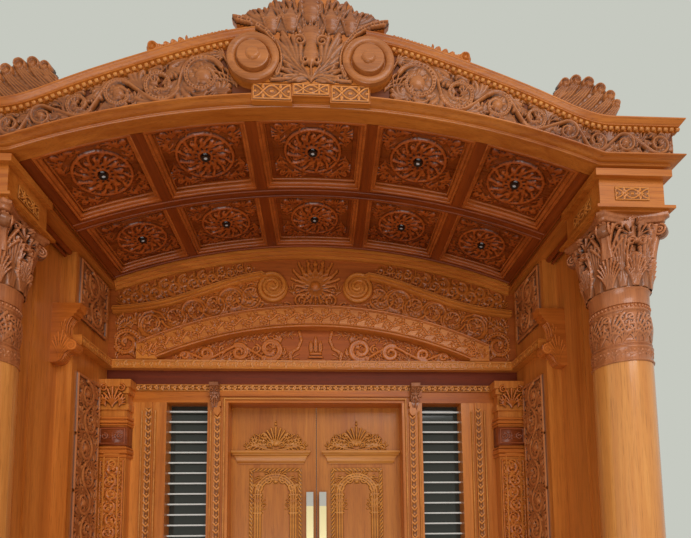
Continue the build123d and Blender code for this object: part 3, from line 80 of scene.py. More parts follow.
def arch_line(x, lift=0.0):
    """Height of the arch at x, level outside the springing."""
    foot = np.minimum(np.abs(x), SPRING_HALF)
    return ARCH_CENTRE + np.sqrt(ARCH_RADIUS**2 - foot**2) + lift


def level_spline(knots, heights, x):
    """Smooth curve through the knots that is level at both ends."""
    n = len(knots)
    gaps = np.diff(knots)
    slopes = np.diff(heights) / gaps
    system = np.eye(n)
    wanted = np.zeros(n)
    for i in range(1, n - 1):
        system[i, i - 1:i + 2] = gaps[i], 2 * (gaps[i] + gaps[i - 1]), gaps[i - 1]
        wanted[i] = 3 * (gaps[i] * slopes[i - 1] + gaps[i - 1] * slopes[i])
    tangents = np.linalg.solve(system, wanted)
    k = np.clip(np.searchsorted(knots, x) - 1, 0, n - 2)
    t = (x - knots[k]) / gaps[k]
    rise = (2 * t**3 - 3 * t**2 + 1) * heights[k] + (3 * t**2 - 2 * t**3) * heights[k + 1]
    return rise + gaps[k] * ((t**3 - 2 * t**2 + t) * tangents[k] + (t**3 - t**2) * tangents[k + 1])


def cornice_line(x, lift=0.0):
    """Height of the cornice top at x."""
    foot = np.minimum(np.abs(x), OGEE_X[-1])
    return CORNICE_LEVEL + level_spline(OGEE_X, OGEE_RISE, foot) + lift


class Value:
    """A socket of a material, so that arithmetic on it adds Math nodes."""

    def __init__(self, finish, socket):
        self.finish = finish
        self.socket = socket

    def math(self, operation, first, second):
        return self.finish.node("ShaderNodeMath", {"operation": operation}, {0: first, 1: second})

    def __add__(self, other):
        return self.math("ADD", self, other)

    def __radd__(self, other):
        return self.math("ADD", other, self)

    def __sub__(self, other):
        return self.math("SUBTRACT", self, other)

    def __rsub__(self, other):
        return self.math("SUBTRACT", other, self)

    def __mul__(self, other):
        return self.math("MULTIPLY", self, other)

    def __rmul__(self, other):
        return self.math("MULTIPLY", other, self)


class Finish:
    """One material, or the world, with its nodes."""

    def __init__(self, name, kind=bpy.data.materials):
        self.owner = kind.new(name)
        self.owner.use_nodes = True
        self.tree = self.owner.node_tree
        self.shader = self.tree.nodes.get("Principled BSDF")

    def put(self, socket, value):
        if isinstance(value, Value):
            self.tree.links.new(value.socket, socket)
        else:
            socket.default_value = value

    def node(self, kind, settings=None, values=None, output=0):
        made = self.tree.nodes.new(kind)
        for name, setting in (settings or {}).items():
            setattr(made, name, setting)
        for name, value in (values or {}).items():
            self.put(made.inputs[name], value)
        return Value(self, made.outputs[output])

    def set(self, **values):
        for name, value in values.items():
            self.put(self.shader.inputs[name.replace("_", " ").title()], value)

    def place(self):
        """Object coordinates."""
        return self.node("ShaderNodeTexCoord", output=3)

    def noise(self, place, scale, detail=2.0, distortion=0.0):
        """Smooth noise stretched by a scale along each axis."""
        stretched = self.node("ShaderNodeMapping", None, {"Vector": place, "Scale": scale})
        values = {"Vector": stretched, "Scale": 1.0, "Detail": detail, "Distortion": distortion}
        return self.node("ShaderNodeTexNoise", None, values)

    def ramp(self, value, low, high):
        """Value rescaled so that low gives 0 and high gives 1, and kept between them."""
        return self.node("ShaderNodeMapRange", {"clamp": True},
                         {"Value": value, "From Min": low, "From Max": high})

    def mix(self, share, first, second):
        """Colour between two colours."""
        values = {0: share, 6: first, 7: second}
        return self.node("ShaderNodeMix", {"data_type": "RGBA"}, values, output=2)


def srgb(red, green, blue):
    """Linear colour from 0 to 255 screen values."""
    parts = [c / 255 for c in (red, green, blue)]
    return tuple(c / 12.92 if c <= 0.04045 else ((c + 0.055) / 1.055) ** 2.4 for c in parts) + (1.0,)


def dimmed(colour, share):
    return tuple(share * c for c in colour[:3]) + (1.0,)


def wood(name, pale, dark, along, gloss=0.3, carved=False, coat=0.12, deep=0.1):
    """Varnished hardwood with its grain along one axis; carved wood gets painted shade in its hollows, as
    dark as deep sets, and a painted highlight on its crowns.
    """
    finish = Finish(name)
    pale, dark = srgb(*pale), srgb(*dark)
    place = finish.place()

    def stretch(across, length):
        return [length if axis == along else across for axis in range(3)]

    board = finish.noise(place, stretch(5.0, 0.6), 3.0)
    figure = finish.noise(place, stretch(34.0, 1.3), 4.0, 0.8)
    pores = finish.noise(place, stretch(260.0, 11.0), 2.0)
    tone = finish.ramp(0.5 * board + 0.5 * figure, 0.33, 0.66)
    colour = finish.mix(tone, dark, pale)
    pore_mask = finish.ramp(pores, 0.52, 0.74)
    colour = finish.mix(0.45 * pore_mask, colour, dimmed(dark, 0.5))
    if carved:
        relief = finish.node("ShaderNodeAttribute", {"attribute_name": "relief"}, output=2)
        # Painted shade: hollows darkened towards the dark colour
        hollow = finish.ramp(relief, 0.56, 0.22)
        colour = finish.mix(0.95 * hollow, colour, dimmed(dark, deep))
        # Painted highlight: crowns lightened towards a paler colour
        crown = finish.ramp(relief, 0.62, 1.0)
        painted_highlight_colour = tuple(min(1.0, 1.2 * c + 0.015) for c in pale[:3]) + (1.0,)
        colour = finish.mix(0.6 * crown, colour, painted_highlight_colour)
    finish.set(Base_Color=colour, Roughness=gloss + 0.12 * figure)
    finish.shader.inputs["Specular IOR Level"].default_value = 0.35
    finish.shader.inputs["Coat Weight"].default_value = coat
    finish.shader.inputs["Coat Roughness"].default_value = 0.12
    height = figure * 0.6 - pore_mask * 0.4
    bump = finish.node("ShaderNodeBump", None, {"Strength": 0.25, "Distance": 0.0008, "Height": height})
    finish.set(Normal=bump)
    return finish.owner


ALONG_X, ALONG_Y, ALONG_Z = range(3)
GOLD_PALE = (206, 124, 48)
GOLD_DARK = (162, 82, 20)
VAULT_PALE = (160, 74, 20)
VAULT_DARK = (110, 42, 8)
DOOR_PALE = (200, 124, 44)
DOOR_DARK = (166, 90, 24)
SHAFT_PALE = (220, 150, 78)
SHAFT_DARK = (190, 114, 50)
CARVED_PALE = (182, 112, 58)
CARVED_DARK = (130, 68, 28)

teak_across = wood("teak_across", GOLD_PALE, GOLD_DARK, ALONG_X)
teak_deep = wood("teak_deep", GOLD_PALE, GOLD_DARK, ALONG_Y)
teak_upright = wood("teak_upright", (222, 138, 58), (176, 94, 28), ALONG_Z)
teak_volute = wood("teak_volute", (182, 110, 54), (140, 76, 30), ALONG_X)
# Painted light: lighter than the gold wood, standing for more light on the screen under the vault
teak_screen = wood("teak_screen", (224, 138, 56), (178, 94, 26), ALONG_X)
teak_head = wood("teak_head", (200, 112, 32), (156, 74, 12), ALONG_X, 0.36, coat=0.02)
teak_shaft = wood("teak_shaft", SHAFT_PALE, SHAFT_DARK, ALONG_Z, 0.2, coat=0.5)
teak_carved = wood("teak_carved", CARVED_PALE, CARVED_DARK, ALONG_X, 0.3, True)
teak_carved_upright = wood("teak_carved_upright", (188, 116, 70), (138, 74, 38), ALONG_Z, 0.24, True, 0.25)
# Painted light: a raised palette for the carvings under the vault; carved, so also painted shade and
# highlight
teak_lunette = wood("teak_lunette", (212, 120, 46), (162, 80, 22), ALONG_X, 0.24, True, deep=0.28)
teak_panel = wood("teak_panel", (212, 132, 72), (164, 90, 44), ALONG_Z, 0.26, True, 0.12, 0.16)
# Painted shade: a dark board for the ground of the frieze between the scrolls
teak_ground = wood("teak_ground", (122, 60, 24), (84, 36, 12), ALONG_X, 0.5, coat=0.0)
teak_edge = wood("teak_edge", (216, 138, 60), (176, 98, 34), ALONG_X, 0.3, True, deep=0.4)
teak_bead = wood("teak_bead", (214, 142, 66), (180, 104, 40), ALONG_X, 0.3)
# Painted shade: a darker board for the ground of the lunette between the scrolls
lunette_ground = wood("lunette_ground", (192, 100, 34), (146, 66, 14), ALONG_X, 0.5, coat=0.0)
beam_dark = wood("beam_dark", (122, 46, 10), (90, 30, 6), ALONG_X, 0.6, coat=0.0)
block_red = wood("block_red", (160, 80, 36), (118, 50, 20), ALONG_X, 0.3, True, deep=0.3)
# Painted highlight: paler than the vault wood, for the lit edges of the coffer mouldings
coffer_edge = wood("coffer_edge", (200, 106, 42), (148, 70, 22), ALONG_X, 0.26)
vault_across = wood("vault_across", VAULT_PALE, VAULT_DARK, ALONG_X, 0.34, coat=0.04)
vault_deep = wood("vault_deep", VAULT_PALE, VAULT_DARK, ALONG_Y, 0.34, coat=0.04)
vault_carved = wood("vault_carved", (186, 92, 32), (130, 54, 14), ALONG_X, 0.22, True)
door_upright = wood("door_upright", DOOR_PALE, DOOR_DARK, ALONG_Z)
door_across = wood("door_across", DOOR_PALE, DOOR_DARK, ALONG_X)
door_carved = wood("door_carved", (212, 142, 62), (172, 98, 32), ALONG_X, 0.3, True)


def plain(name, colour, roughness, metallic=0.0):
    """Even finish with faint mottling in its colour and gloss."""
    finish = Finish(name)
    mottle = finish.noise(finish.place(), (60.0, 60.0, 60.0), 3.0)
    finish.set(Base_Color=finish.mix(mottle, dimmed(colour, 0.8), colour),
               Roughness=roughness * 0.8 + 0.4 * roughness * mottle)
    finish.shader.inputs["Metallic"].default_value = metallic
    return finish.owner


def pull_finish(split):
    """Brushed metal, pale gold below a height and silver above it."""
    finish = Finish("pull_metal")
    place = finish.place()
    brushed = finish.noise(place, (900.0, 900.0, 12.0), 2.0)
    height = finish.node("ShaderNodeSeparateXYZ", None, {0: place}, output=2)
    upper = finish.ramp(height, split - 0.001, split + 0.001)
    colour = finish.mix(upper, srgb(222, 206, 158), srgb(176, 172, 164))
    finish.set(Base_Color=colour, Roughness=0.28 + 0.16 * brushed)
    finish.shader.inputs["Metallic"].default_value = 0.85
    return finish.owner


PULL_SPLIT = 1.755
glass = plain("dark_glass", srgb(52, 54, 48), 0.06)
white_paint = plain("white_paint", srgb(226, 228, 224), 0.35)
brass = plain("hinge_brass", srgb(196, 160, 92), 0.32, 0.9)
lamp_black = plain("lamp_rim", srgb(28, 26, 24), 0.3)
seal_black = plain("brush_seal", srgb(60, 34, 18), 0.8)
lamp_clear = plain("lamp_lens", srgb(232, 236, 240), 0.12)
pull_metal = pull_finish(PULL_SPLIT)

NODE_FINISH = {
    teak_shaft: ["left_column_shaft", "right_column_shaft"],
    teak_upright: ["column_bases", "column_collars", "impost_ornaments", "left_capital", "right_capital",
                   "left_side_panel", "right_side_panel", "left_pier", "right_pier", "pier_carvings",
                   "consoles", "mullions", "outer_jambs", "pilasters", "sidelight_aprons"],
    teak_across: ["left_impost_block", "right_impost_block", "arch_architrave",
                  "left_frieze_carving", "right_frieze_carving", "left_arch_cornice", "right_arch_cornice",
                  "crest_board", "crest_carving", "crest_volutes", "left_fan", "right_fan",
                  "threshold"],
    teak_screen: ["lunette_cornice", "swan_scrolls", "lunette_carving", "arch_band", "tympanum_carving",
                  "lintel_shelf"],
    teak_head: ["door_header"],
    teak_ground: ["arch_frieze"],
    lunette_ground: ["lunette_board"],
    beam_dark: ["lintel_beam"],
    teak_deep: ["corner_blocks", "edge_beams"],
    vault_across: ["vault_roof", "vault_cross_ribs", "coffer_rosettes"],
    vault_deep: ["vault_long_ribs"],
    door_upright: ["left_leaf", "right_leaf"],
    door_across: ["left_leaf_carving", "right_leaf_carving"],
    glass: ["sidelight_glass"],
    white_paint: ["sidelight_bars"],
    pull_metal: ["left_pull", "right_pull"],
    brass: ["left_leaf_hinges", "right_leaf_hinges", "frame_hinges"],
    lamp_black: ["lamp_rims"],
    lamp_clear: ["lamp_lenses"],
}
for material, names in NODE_FINISH.items():
    for name in names:
        for material_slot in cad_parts[name].material_slots:
            material_slot.material = material


def rounded(s):
    """Half-round section."""
    return np.sqrt(np.clip(1.0 - s * s, 0.0, 1.0))


def reeded(s):
    """Ribbon with a raised edge each side of a shallow channel."""
    return np.maximum(0.62 * rounded(s), rounded((s - 0.62) / 0.38))


def scooped(s):
    """Leaf lobe: hollow along the middle, crisp near the edge."""
    return np.where(s < 0.78, 0.62 + 0.5 * s * s, 0.92 * np.clip((1.0 - s) / 0.22, 0.0, 1.0))


def points_of(*columns):
    """Points from their coordinates; a single number counts for all of them."""
    return np.column_stack(np.broadcast_arrays(*columns))


def bent_path(u, v, angle, length, bend, steps=6):
    """Points of a stem that sets off at an angle and bends evenly, in degrees."""
    turn = radians(angle) + radians(bend) * (np.arange(steps) + 0.5) / steps
    step = length / steps
    along = np.concatenate([[0.0], np.cumsum(np.cos(turn))]) * step
    rise = np.concatenate([[0.0], np.cumsum(np.sin(turn))]) * step
    return points_of(u + along, v + rise)


def beside(u, v, reach, angle):
    """Point at a reach and an angle in degrees from another."""
    return u + reach * cos(radians(angle)), v + reach * sin(radians(angle))


def neighbours(grid):
    """Sum of the four cells next to each cell."""
    padded = np.pad(grid, 1, "edge")
    return padded[:-2, 1:-1] + padded[2:, 1:-1] + padded[1:-1, :-2] + padded[1:-1, 2:]


def corners_of(index):
    """Point numbers at the four corners of each cell of a grid."""
    return np.stack([index[:-1, :-1], index[:-1, 1:], index[1:, 1:], index[1:, :-1]], 2)


LOBE_WIDTH = np.array([0.4, 0.8, 1.0, 1.0, 0.8, 0.5])
LOBE_HEIGHT = np.array([0.5, 0.7, 0.85, 1.0, 1.0, 0.85])


class Carving:
    """Relief drawn as heights over a fine grid, then laid on a surface."""

    def __init__(self, low_u, high_u, low_v, high_v, cell):
        self.u = np.linspace(low_u, high_u, int(round((high_u - low_u) / cell)) + 1)
        self.v = np.linspace(low_v, high_v, int(round((high_v - low_v) / cell)) + 1)
        self.cell = cell
        self.height = np.zeros((len(self.v), len(self.u)))

    def stroke(self, points, half, high, section=rounded):
        """Tapering ridge along points."""
        points = np.asarray(points, float)
        count = len(points)
        half = np.broadcast_to(half, count)
        high = np.broadcast_to(high, count)
        for i in range(count - 1):
            a, b = points[i], points[i + 1]
            reach = max(half[i], half[i + 1])
            i0, i1 = np.searchsorted(self.u, (min(a[0], b[0]) - reach, max(a[0], b[0]) + reach))
            j0, j1 = np.searchsorted(self.v, (min(a[1], b[1]) - reach, max(a[1], b[1]) + reach))
            if i1 <= i0 or j1 <= j0:
                continue
            du = self.u[None, i0:i1] - a[0]
            dv = self.v[j0:j1, None] - a[1]
            run = b - a
            t = np.clip((du * run[0] + dv * run[1]) / max(run @ run, 1e-12), 0.0, 1.0)
            away = np.hypot(du - t * run[0], dv - t * run[1])
            s = away / np.maximum(half[i] + (half[i + 1] - half[i]) * t, 1e-6)
            level = (high[i] + (high[i + 1] - high[i]) * t) * section(s)
            part = self.height[j0:j1, i0:i1]
            np.maximum(part, np.where(s < 1.0, level, 0.0), out=part)

    def dome(self, u, v, radius, high):
        """Rounded boss."""
        du = self.u[None, :] - u
        dv = self.v[:, None] - v
        s = np.hypot(du, dv) / radius
        np.maximum(self.height, high * rounded(s), out=self.height)

    def border(self, inset, half, high):
        """Ridge all round, at an inset from the edges."""
        low_u, high_u = self.u[0] + inset, self.u[-1] - inset
        low_v, high_v = self.v[0] + inset, self.v[-1] - inset
        self.stroke([(low_u, low_v), (high_u, low_v), (high_u, high_v), (low_u, high_v), (low_u, low_v)],
                    half, high)

    def rails(self, inset, half, high):
        """Ridges along the lower and the upper edge."""
        for v in (self.v[0] + inset, self.v[-1] - inset):
            self.stroke([(self.u[0], v), (self.u[-1], v)], half, high)

    def lobe(self, u, v, angle, length, bend, width, high):
        self.stroke(bent_path(u, v, angle, length, bend, 5), width * LOBE_WIDTH, high * LOBE_HEIGHT, scooped)

    def leaf(self, u, v, length, angle, bend, high, lobes=4, fullness=0.5):
        """Acanthus leaf: a bent rib with pairs of curled lobes and a curled tip."""
        rib = bent_path(u, v, angle, length, bend, 12)
        for k in range(lobes):
            share = (k + 0.45) / (lobes + 0.25)
            spot = share * 12
            i = min(int(spot), 11)
            at = rib[i] + (rib[i + 1] - rib[i]) * (spot - i)
            way = angle + bend * share
            size = fullness * length * (0.62 - 0.3 * share)
            for side in (-1, 1):
                self.lobe(*at, way + side * (66 - 26 * share), size, -side * 62, 0.27 * size,
                          high * (0.72 + 0.2 * share))
        ends = np.linspace(1.0, 0.0, 13)
        self.stroke(rib, length * (0.035 + 0.05 * ends), high * (1.0 - 0.25 * np.abs(ends - 0.4)))
        self.lobe(*rib[-2], angle + bend, 0.26 * fullness * length + 0.02 * length, 40,
                  0.1 * length * fullness * 1.6, high)

    def plume(self, u, v, length, angle, bend, high, ribs=5, spread=70.0, half=None):
        """Fluted leaf: ribs that part from one foot and roll outwards at their rounded tips."""
        half = half or 0.3 * length / ribs
        for k in range(ribs):
            share = 2.0 * k / (ribs - 1) - 1.0
            path = bent_path(u, v, angle + 0.3 * spread * share, length * (1.0 - 0.34 * abs(share)**1.4),
                             bend + 0.75 * spread * share, 9)
            grow = np.linspace(0.0, 1.0, 10)
            self.stroke(path, half * (0.55 + 0.5 * grow), high * (0.5 + 0.5 * grow - 0.1 * abs(share)))

    def plumes(self, rows, *shared):
        """Plumes that differ in their first measures and share the rest."""
        for row in rows:
            self.plume(*row, *shared)

    def flower(self, u, v, radius, high, petals=6):
        for k in range(petals):
            way = 360.0 * k / petals + 90.0
            self.lobe(*beside(u, v, 0.15 * radius, way), way, 0.72 * radius, 0.0, 0.3 * radius, 0.85 * high)
        self.dome(u, v, 0.3 * radius, 1.15 * high)

    def bud(self, u, v, radius, high, angle=90.0):
        """Closed bud: a smooth ball in a collar of lobes."""
        self.plume(*beside(u, v, -0.9 * radius, angle), 1.5 * radius, angle, 0.0,
                   0.8 * high, 5, 120.0, 0.2 * radius)
        self.dome(u, v, 0.78 * radius, high)

    def scroll(self, u, v, radius, start, hand, width, high, turns=1.3, tight=0.76, section=rounded):
        """Ribbon that winds inwards from a start angle in degrees."""
        share = np.linspace(0.0, 1.0, int(26 * turns) + 6)
        reach = radius * (1.0 - tight * share**1.15)
        angle = radians(start) + hand * 2 * pi * turns * share
        path = points_of(u + reach * np.cos(angle), v + reach * np.sin(angle))
        self.stroke(path, width * (1.0 - 0.45 * share), high, section)

    def running(self, places, width, high, buds=True, growth=0.85, arrival=180.0, broad=0.098):
        """Stem that swings from scroll to scroll, turning the other way round each, sheathed in leaves."""
        for i, (u, v, radius, hand) in enumerate(places):
            if i:
                pu, pv, before, previous = places[i - 1]
                run = hypot(u - pu, v - pv)
                way = atan2(v - pv, u - pu)
                lean = acos(min(1.0, (before + radius) / run))
                leave = way - previous * lean
                land = way + pi - previous * lean
                if run > before + radius:
                    ends = [(pu + before * cos(leave), pv + before * sin(leave)),
                            (u + radius * cos(land), v + radius * sin(land))]
                    self.stroke(ends, 0.8 * width, 1.05 * high)
                swing = np.linspace(0.0, 1.0, 10)
                gap = (leave - last_angle) * previous % (2 * pi)
                back = last_angle + previous * gap * swing
                self.stroke(points_of(pu + before * np.cos(back), pv + before * np.sin(back)),
                            0.8 * width, 1.05 * high)
                arrival = degrees(land)
            last_angle = radians(arrival)
            size = width * (0.6 + 0.4 * radius / places[0][2])
            for step in range(5):
                way = arrival + hand * (30 + 62 * step)
                foot = beside(u, v, 0.92 * radius, way)
                reach = growth * radius * (1.25, 1.0, 1.15, 0.85, 0.7)[step]
                self.plume(*foot, reach, way + hand * 46, hand * 64, (0.7 + 1.43 * broad) * high, 5, 60.0,
                           broad * reach)
                self.plume(*foot, 0.55 * reach, way + hand * 112, hand * 70, 0.78 * high, 4, 66.0,
                           1.27 * broad * reach)
            self.scroll(u, v, radius, arrival, hand, size, 1.1 * high, 1.25, 0.66,
                        reeded if size > 3.2 * self.cell else rounded)
            for step in range(3 if broad < 0.12 else 1):
                way = arrival + hand * (20 + 95 * step)
                self.plume(*beside(u, v, 0.84 * radius, way), 0.62 * radius, way + hand * 128, -hand * 60,
                           0.8 * high, 4, 60.0, 0.08 * radius)
            if buds and i % 2 == 0:
                self.bud(u, v, (0.25 + 2.1 * broad) * radius, 1.3 * high, arrival + 200 * hand)
            else:
                for turn in (0, 130, 250):
                    self.plume(*beside(u, v, 0.12 * radius, turn), 0.55 * radius,
                               turn + 20, hand * 70, 1.15 * high, 4, 66.0, 0.07 * radius)

    def keep(self, inside):
        """Cut the relief away where the test fails."""
        u, v = np.meshgrid(self.u, self.v)
        self.height[~inside(u, v)] = 0.0

    def soften(self):
        """Take the steps of the grid off the edges."""
        self.height = np.where(self.height > 0, 0.6 * self.height + 0.1 * neighbours(self.height), 0.0)

    def relief(self):
        """How proud each point stands of what is round it, from 0 in a hollow to 1 on a crown."""
        # Carved finishes paint shade where this is low and a highlight where it is high
        top = max(self.height.max(), 1e-6)
        soft = self.height.copy()
        for _ in range(int(0.009 / self.cell) + 2):
            soft = (neighbours(soft) + 4 * soft) / 8
        proud = 0.5 + (self.height - soft) / (0.32 * top)
        return np.clip(0.34 * self.height / top + 0.66 * proud, 0.0, 1.0)

    def parts(self, place, sink=0.0015, floor=0.0006, back=None):
        """Vertices, faces and relief of the raised cells, with the rim sunk into what carries it."""
        self.soften()
        raised = self.height > floor
        cells = raised[:-1, :-1] | raised[1:, :-1] | raised[:-1, 1:] | raised[1:, 1:]
        rows, columns = len(self.v), len(self.u)
        index = np.arange(rows * columns).reshape(rows, columns)
        quads = corners_of(index)[cells]
        used = np.unique(quads)
        level = np.where(raised, self.height, -sink if back is None else -back)
        u, v = np.meshgrid(self.u, self.v)
        u, v, level = u.ravel()[used], v.ravel()[used], level.ravel()[used]
        points = place(u, v, level)
        out = place(u, v, level + 0.001) - points
        shade = self.relief().ravel()[used]
        lookup = np.zeros(rows * columns, int)
        lookup[used] = np.arange(len(used))
        faces = lookup[quads]
        if (face_normals(points, faces) * out[faces[:, 0]]).sum() < 0:
            faces = faces[:, ::-1]
        if back is not None:
            behind = place(u, v, np.full(len(used), -back))
            points = np.concatenate([points, behind])
            shade = np.concatenate([shade, 0.5 * np.ones(len(used))])
            faces = np.concatenate([faces, faces[:, ::-1] + len(used)])
        return points, faces, shade


def face_normals(points, faces):
    """Normals of four-sided faces, as long as twice their area."""
    return np.cross(points[faces[:, 2]] - points[faces[:, 0]], points[faces[:, 3]] - points[faces[:, 1]])


def mirrored(part):
    """The same part on the other side of the middle."""
    points, faces, shade = part
    return points * np.array([-1.0, 1.0, 1.0]), faces[:, ::-1], shade


def both_sides(*parts):
    """The parts and their mirror images."""
    return [*parts, *(mirrored(part) for part in parts)]


def weld(part):
    """The part with points that share a place joined."""
    points, faces, shade = part
    _, first, number = np.unique(np.round(points, 6), axis=0, return_index=True, return_inverse=True)
    return points[first], number.reshape(-1)[faces], shade[first]


def make(name, parts, material, body="portal", slot="teak", replaced=(), smooth=True, sharp=None):
    """One piece from several parts, each of vertices, four-sided faces and relief."""
    parts = [weld(part) for part in parts]
    points = np.concatenate([p for p, f, s in parts])
    shade = np.concatenate([s for p, f, s in parts])
    starts = np.cumsum([0] + [len(p) for p, f, s in parts])
    faces = np.concatenate([f + start for (p, f, s), start in zip(parts, starts)])
    doubled = faces == np.roll(faces, -1, axis=1)
    sides = 4 - doubled.sum(axis=1)
    faces, doubled, sides = faces[sides > 2], doubled[sides > 2], sides[sides > 2]
    corners = faces[~doubled]
    mesh = bpy.data.meshes.new(name)
    mesh.vertices.add(len(points))
    mesh.vertices.foreach_set("co", points.astype(np.float32).ravel())
    mesh.loops.add(len(corners))
    mesh.loops.foreach_set("vertex_index", corners.astype(np.int32))
    mesh.polygons.add(len(sides))
    mesh.polygons.foreach_set("loop_start", (np.cumsum(sides) - sides).astype(np.int32))
    mesh.polygons.foreach_set("loop_total", sides.astype(np.int32))
    # The relief sets painted shade and painted highlight on carved finishes
    layer = mesh.attributes.new("relief", "FLOAT", "POINT")
    layer.data.foreach_set("value", shade.astype(np.float32))
    mesh.update(calc_edges=True)
    mesh.validate()
    if smooth:
        mesh.polygons.foreach_set("use_smooth", np.ones(len(mesh.polygons), bool))
        if sharp:
            mesh.set_sharp_from_angle(angle=radians(sharp))
    mesh.materials.append(material)
    piece = bpy.data.objects.new(name, mesh)
    bpy.context.scene.collection.objects.link(piece)
    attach(piece, body)
    if replaced:
        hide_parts(*replaced)


def make_pair(name, parts, material, replaced="", door=False, **settings):
    """A piece on the right and its mirror image on the left; names are given without their side."""
    for side, turn in (("right_", lambda part: part), ("left_", mirrored)):
        make(side + name, [turn(part) for part in parts], material, side + "door" if door else "portal",
             replaced=[side + replaced] if replaced else [], **settings)


def circle(sides):
    """Angles at an even pitch round a circle."""
    return np.linspace(0.0, 2 * pi, sides, endpoint=False)


def ring(x, y, far_x, far_y, z):
    """Level rectangle between two opposite corners."""
    return [(x, y, z), (far_x, y, z), (far_x, far_y, z), (x, far_y, z)]


def skin(grid, closed_rows=False, facing=None, shade=0.6):
    """Part from rings of points; its ends are capped, unless it is a sheet that faces one way. Every point
    takes shade as its relief, which paints shade below 0.56 and a highlight above 0.62 on carved finishes.
    """
    rings = [np.asarray(ring, float) for ring in grid]
    if facing is None and not closed_rows:
        rings = [np.tile(rings[0].mean(axis=0), (len(rings[0]), 1))] + rings
        rings.append(np.tile(rings[-1].mean(axis=0), (len(rings[-1]), 1)))
    grid = np.array(rings)
    rows, columns = grid.shape[:2]
    index = np.arange(rows * columns).reshape(rows, columns)
    middles = np.repeat(grid.mean(axis=1), columns, axis=0)
    if closed_rows:
        index = np.vstack([index, index[:1]])
    index = np.hstack([index, index[:, :1]])
    faces = corners_of(index).reshape(-1, 4)
    points = grid.reshape(-1, 3)
    out = np.array(facing) if facing is not None else (points - middles)[faces].mean(axis=1)
    if (face_normals(points, faces) * out).sum() < 0:
        faces = faces[:, ::-1]
    return points, faces, np.full(rows * columns, shade)


def front_moulding(section, line, start, stations):
    """Moulding that follows a line along the front and turns back at its end; section is reach and lift."""
    section = np.asarray(section, float)
    steps = np.linspace(0.0, 1.0, stations)
    rows = []
    for share in steps:
        x = start + (FRONT_END + section[:, 0] - start) * share
        rows.append(points_of(x, block_face - section[:, 0], line(x) + section[:, 1]))
    x = FRONT_END + section[:, 0]
    rows.append(points_of(x, block_face + FASCIA_BACK, line(x) + section[:, 1]))
    return skin(rows)


def bar(path, section, up=(0.0, 0.0, 1.0), closed=False):
    """Section swept along a path with mitred turns; section is side reach and lift along up."""
    path = np.asarray(path, float)
    section = np.asarray(section, float)
    up = np.asarray(up, float)
    count = len(path)
    rows = []
    for i in range(count):
        if closed:
            before, after = path[i - 1], path[(i + 1) % count]
        else:
            before, after = path[max(i - 1, 0)], path[min(i + 1, count - 1)]
        into = path[i] - before
        out = after - path[i]
        into = into / (np.linalg.norm(into) or 1.0)
        out = out / (np.linalg.norm(out) or 1.0)
        if not into.any():
            into = out
        if not out.any():
            out = into
        way = into + out
        way /= np.linalg.norm(way)
        side = np.cross(way, up)
        side /= np.linalg.norm(side)
        stretch = 1.0 / max(0.35, float(way @ into))
        rows.append(path[i] + section[:, :1] * stretch * side + section[:, 1:] * up)
    return skin(rows, closed_rows=closed)


TO_VIEWER = (0.0, -1.0, 0.0)


def rod(path, half, sides=8, high=None, up=(0.0, 0.0, 1.0), closed=False):
    """Round bar along a path, or an oval one if it is given a height."""
    turn = circle(sides)
    return bar(path, points_of(half * np.cos(turn), (high or half) * np.sin(turn)), up, closed)


def on_screen(face):
    """Surface facing the viewer at a depth."""
    return lambda u, v, h: points_of(u, face - h, v)


def round_column(x, girth, radius):
    """Surface round a column; u runs along a circle of the girth radius and v is the height."""
    def place(u, v, h):
        reach = radius(v) + h
        return points_of(x + reach * np.sin(u / girth), column_y - reach * np.cos(u / girth), v)
    return place


def frieze_span(x):
    """Heights of the lower and the upper edge of the frieze at x."""
    return float(arch_line(x, ARCHITRAVE_TOP)), float(cornice_line(x, -CORNICE_DROP))


def frieze_places():
    """Scrolls of the frieze from the crest out to the end: place, radius and hand."""
    places = []
    for i, x in enumerate((0.455, 0.632, 0.8, 0.962, 1.108, 1.232, 1.356, 1.506)):
        low, high = frieze_span(x)
        places.append((x, (low + high) / 2, 0.4 * (high - low), 1 if i % 2 else -1))
    return places


def frieze_carvings():
    """Scrollwork of the frieze, drawn for the right half."""
    work = Carving(0.2, FRIEZE_END, 3.19, 3.69, 0.0029)
    places = frieze_places()
    work.running(places, 0.0112, 0.02, growth=1.12, arrival=150.0, broad=0.145)
    for (x, z, radius, hand), (next_x, next_z, *_) in zip(places, places[1:]):
        u, v = (x + next_x) / 2, (z + next_z) / 2
        for side in (-1, 1):
            work.plume(u - 0.1 * radius, v + side * 0.15 * radius, 1.3 * radius,
                       90 * side + 20 * hand, -56 * hand * side, 0.0165, 6, 80, 0.075 * radius)
            work.plume(u + 0.3 * radius, v + side * 0.5 * radius, 0.9 * radius,
                       90 * side - 40 * hand, 50 * hand * side, 0.015, 5, 80, 0.07 * radius)
    sprays = [(0.315, 3.47, 0.15, 78, -22), (0.352, 3.455, 0.125, 60, -40), (0.385, 3.44, 0.08, 24, -50),
              (0.33, 3.48, 0.11, 108, 20), (0.36, 3.6, 0.07, 40, -60)]
    work.plumes(sprays, 0.0185, 7, 78, 0.0052)
    for x in np.arange(0.4, FRIEZE_END, 0.042):
        low, high = frieze_span(x)
        work.plumes([(x, low, 0.26 * (high - low), 66), (x, high, 0.24 * (high - low), -66)],
                    50, 0.011, 4, 80, 0.0036)

    def inside(u, v):
        volute_side = np.hypot(u - VOLUTE_X, v - VOLUTE_Z) > VOLUTE_RADIUS + 0.001
        between = (v > arch_line(u, ARCHITRAVE_TOP + 0.001)) & (v < cornice_line(u, -CORNICE_DROP - 0.001))
        return between & volute_side & (u > 0.236) & (u < FRIEZE_END - 0.003)

    work.keep(inside)
    make_pair("frieze_scrollwork", [work.parts(on_screen(frieze_face))], teak_carved, "frieze_carving")


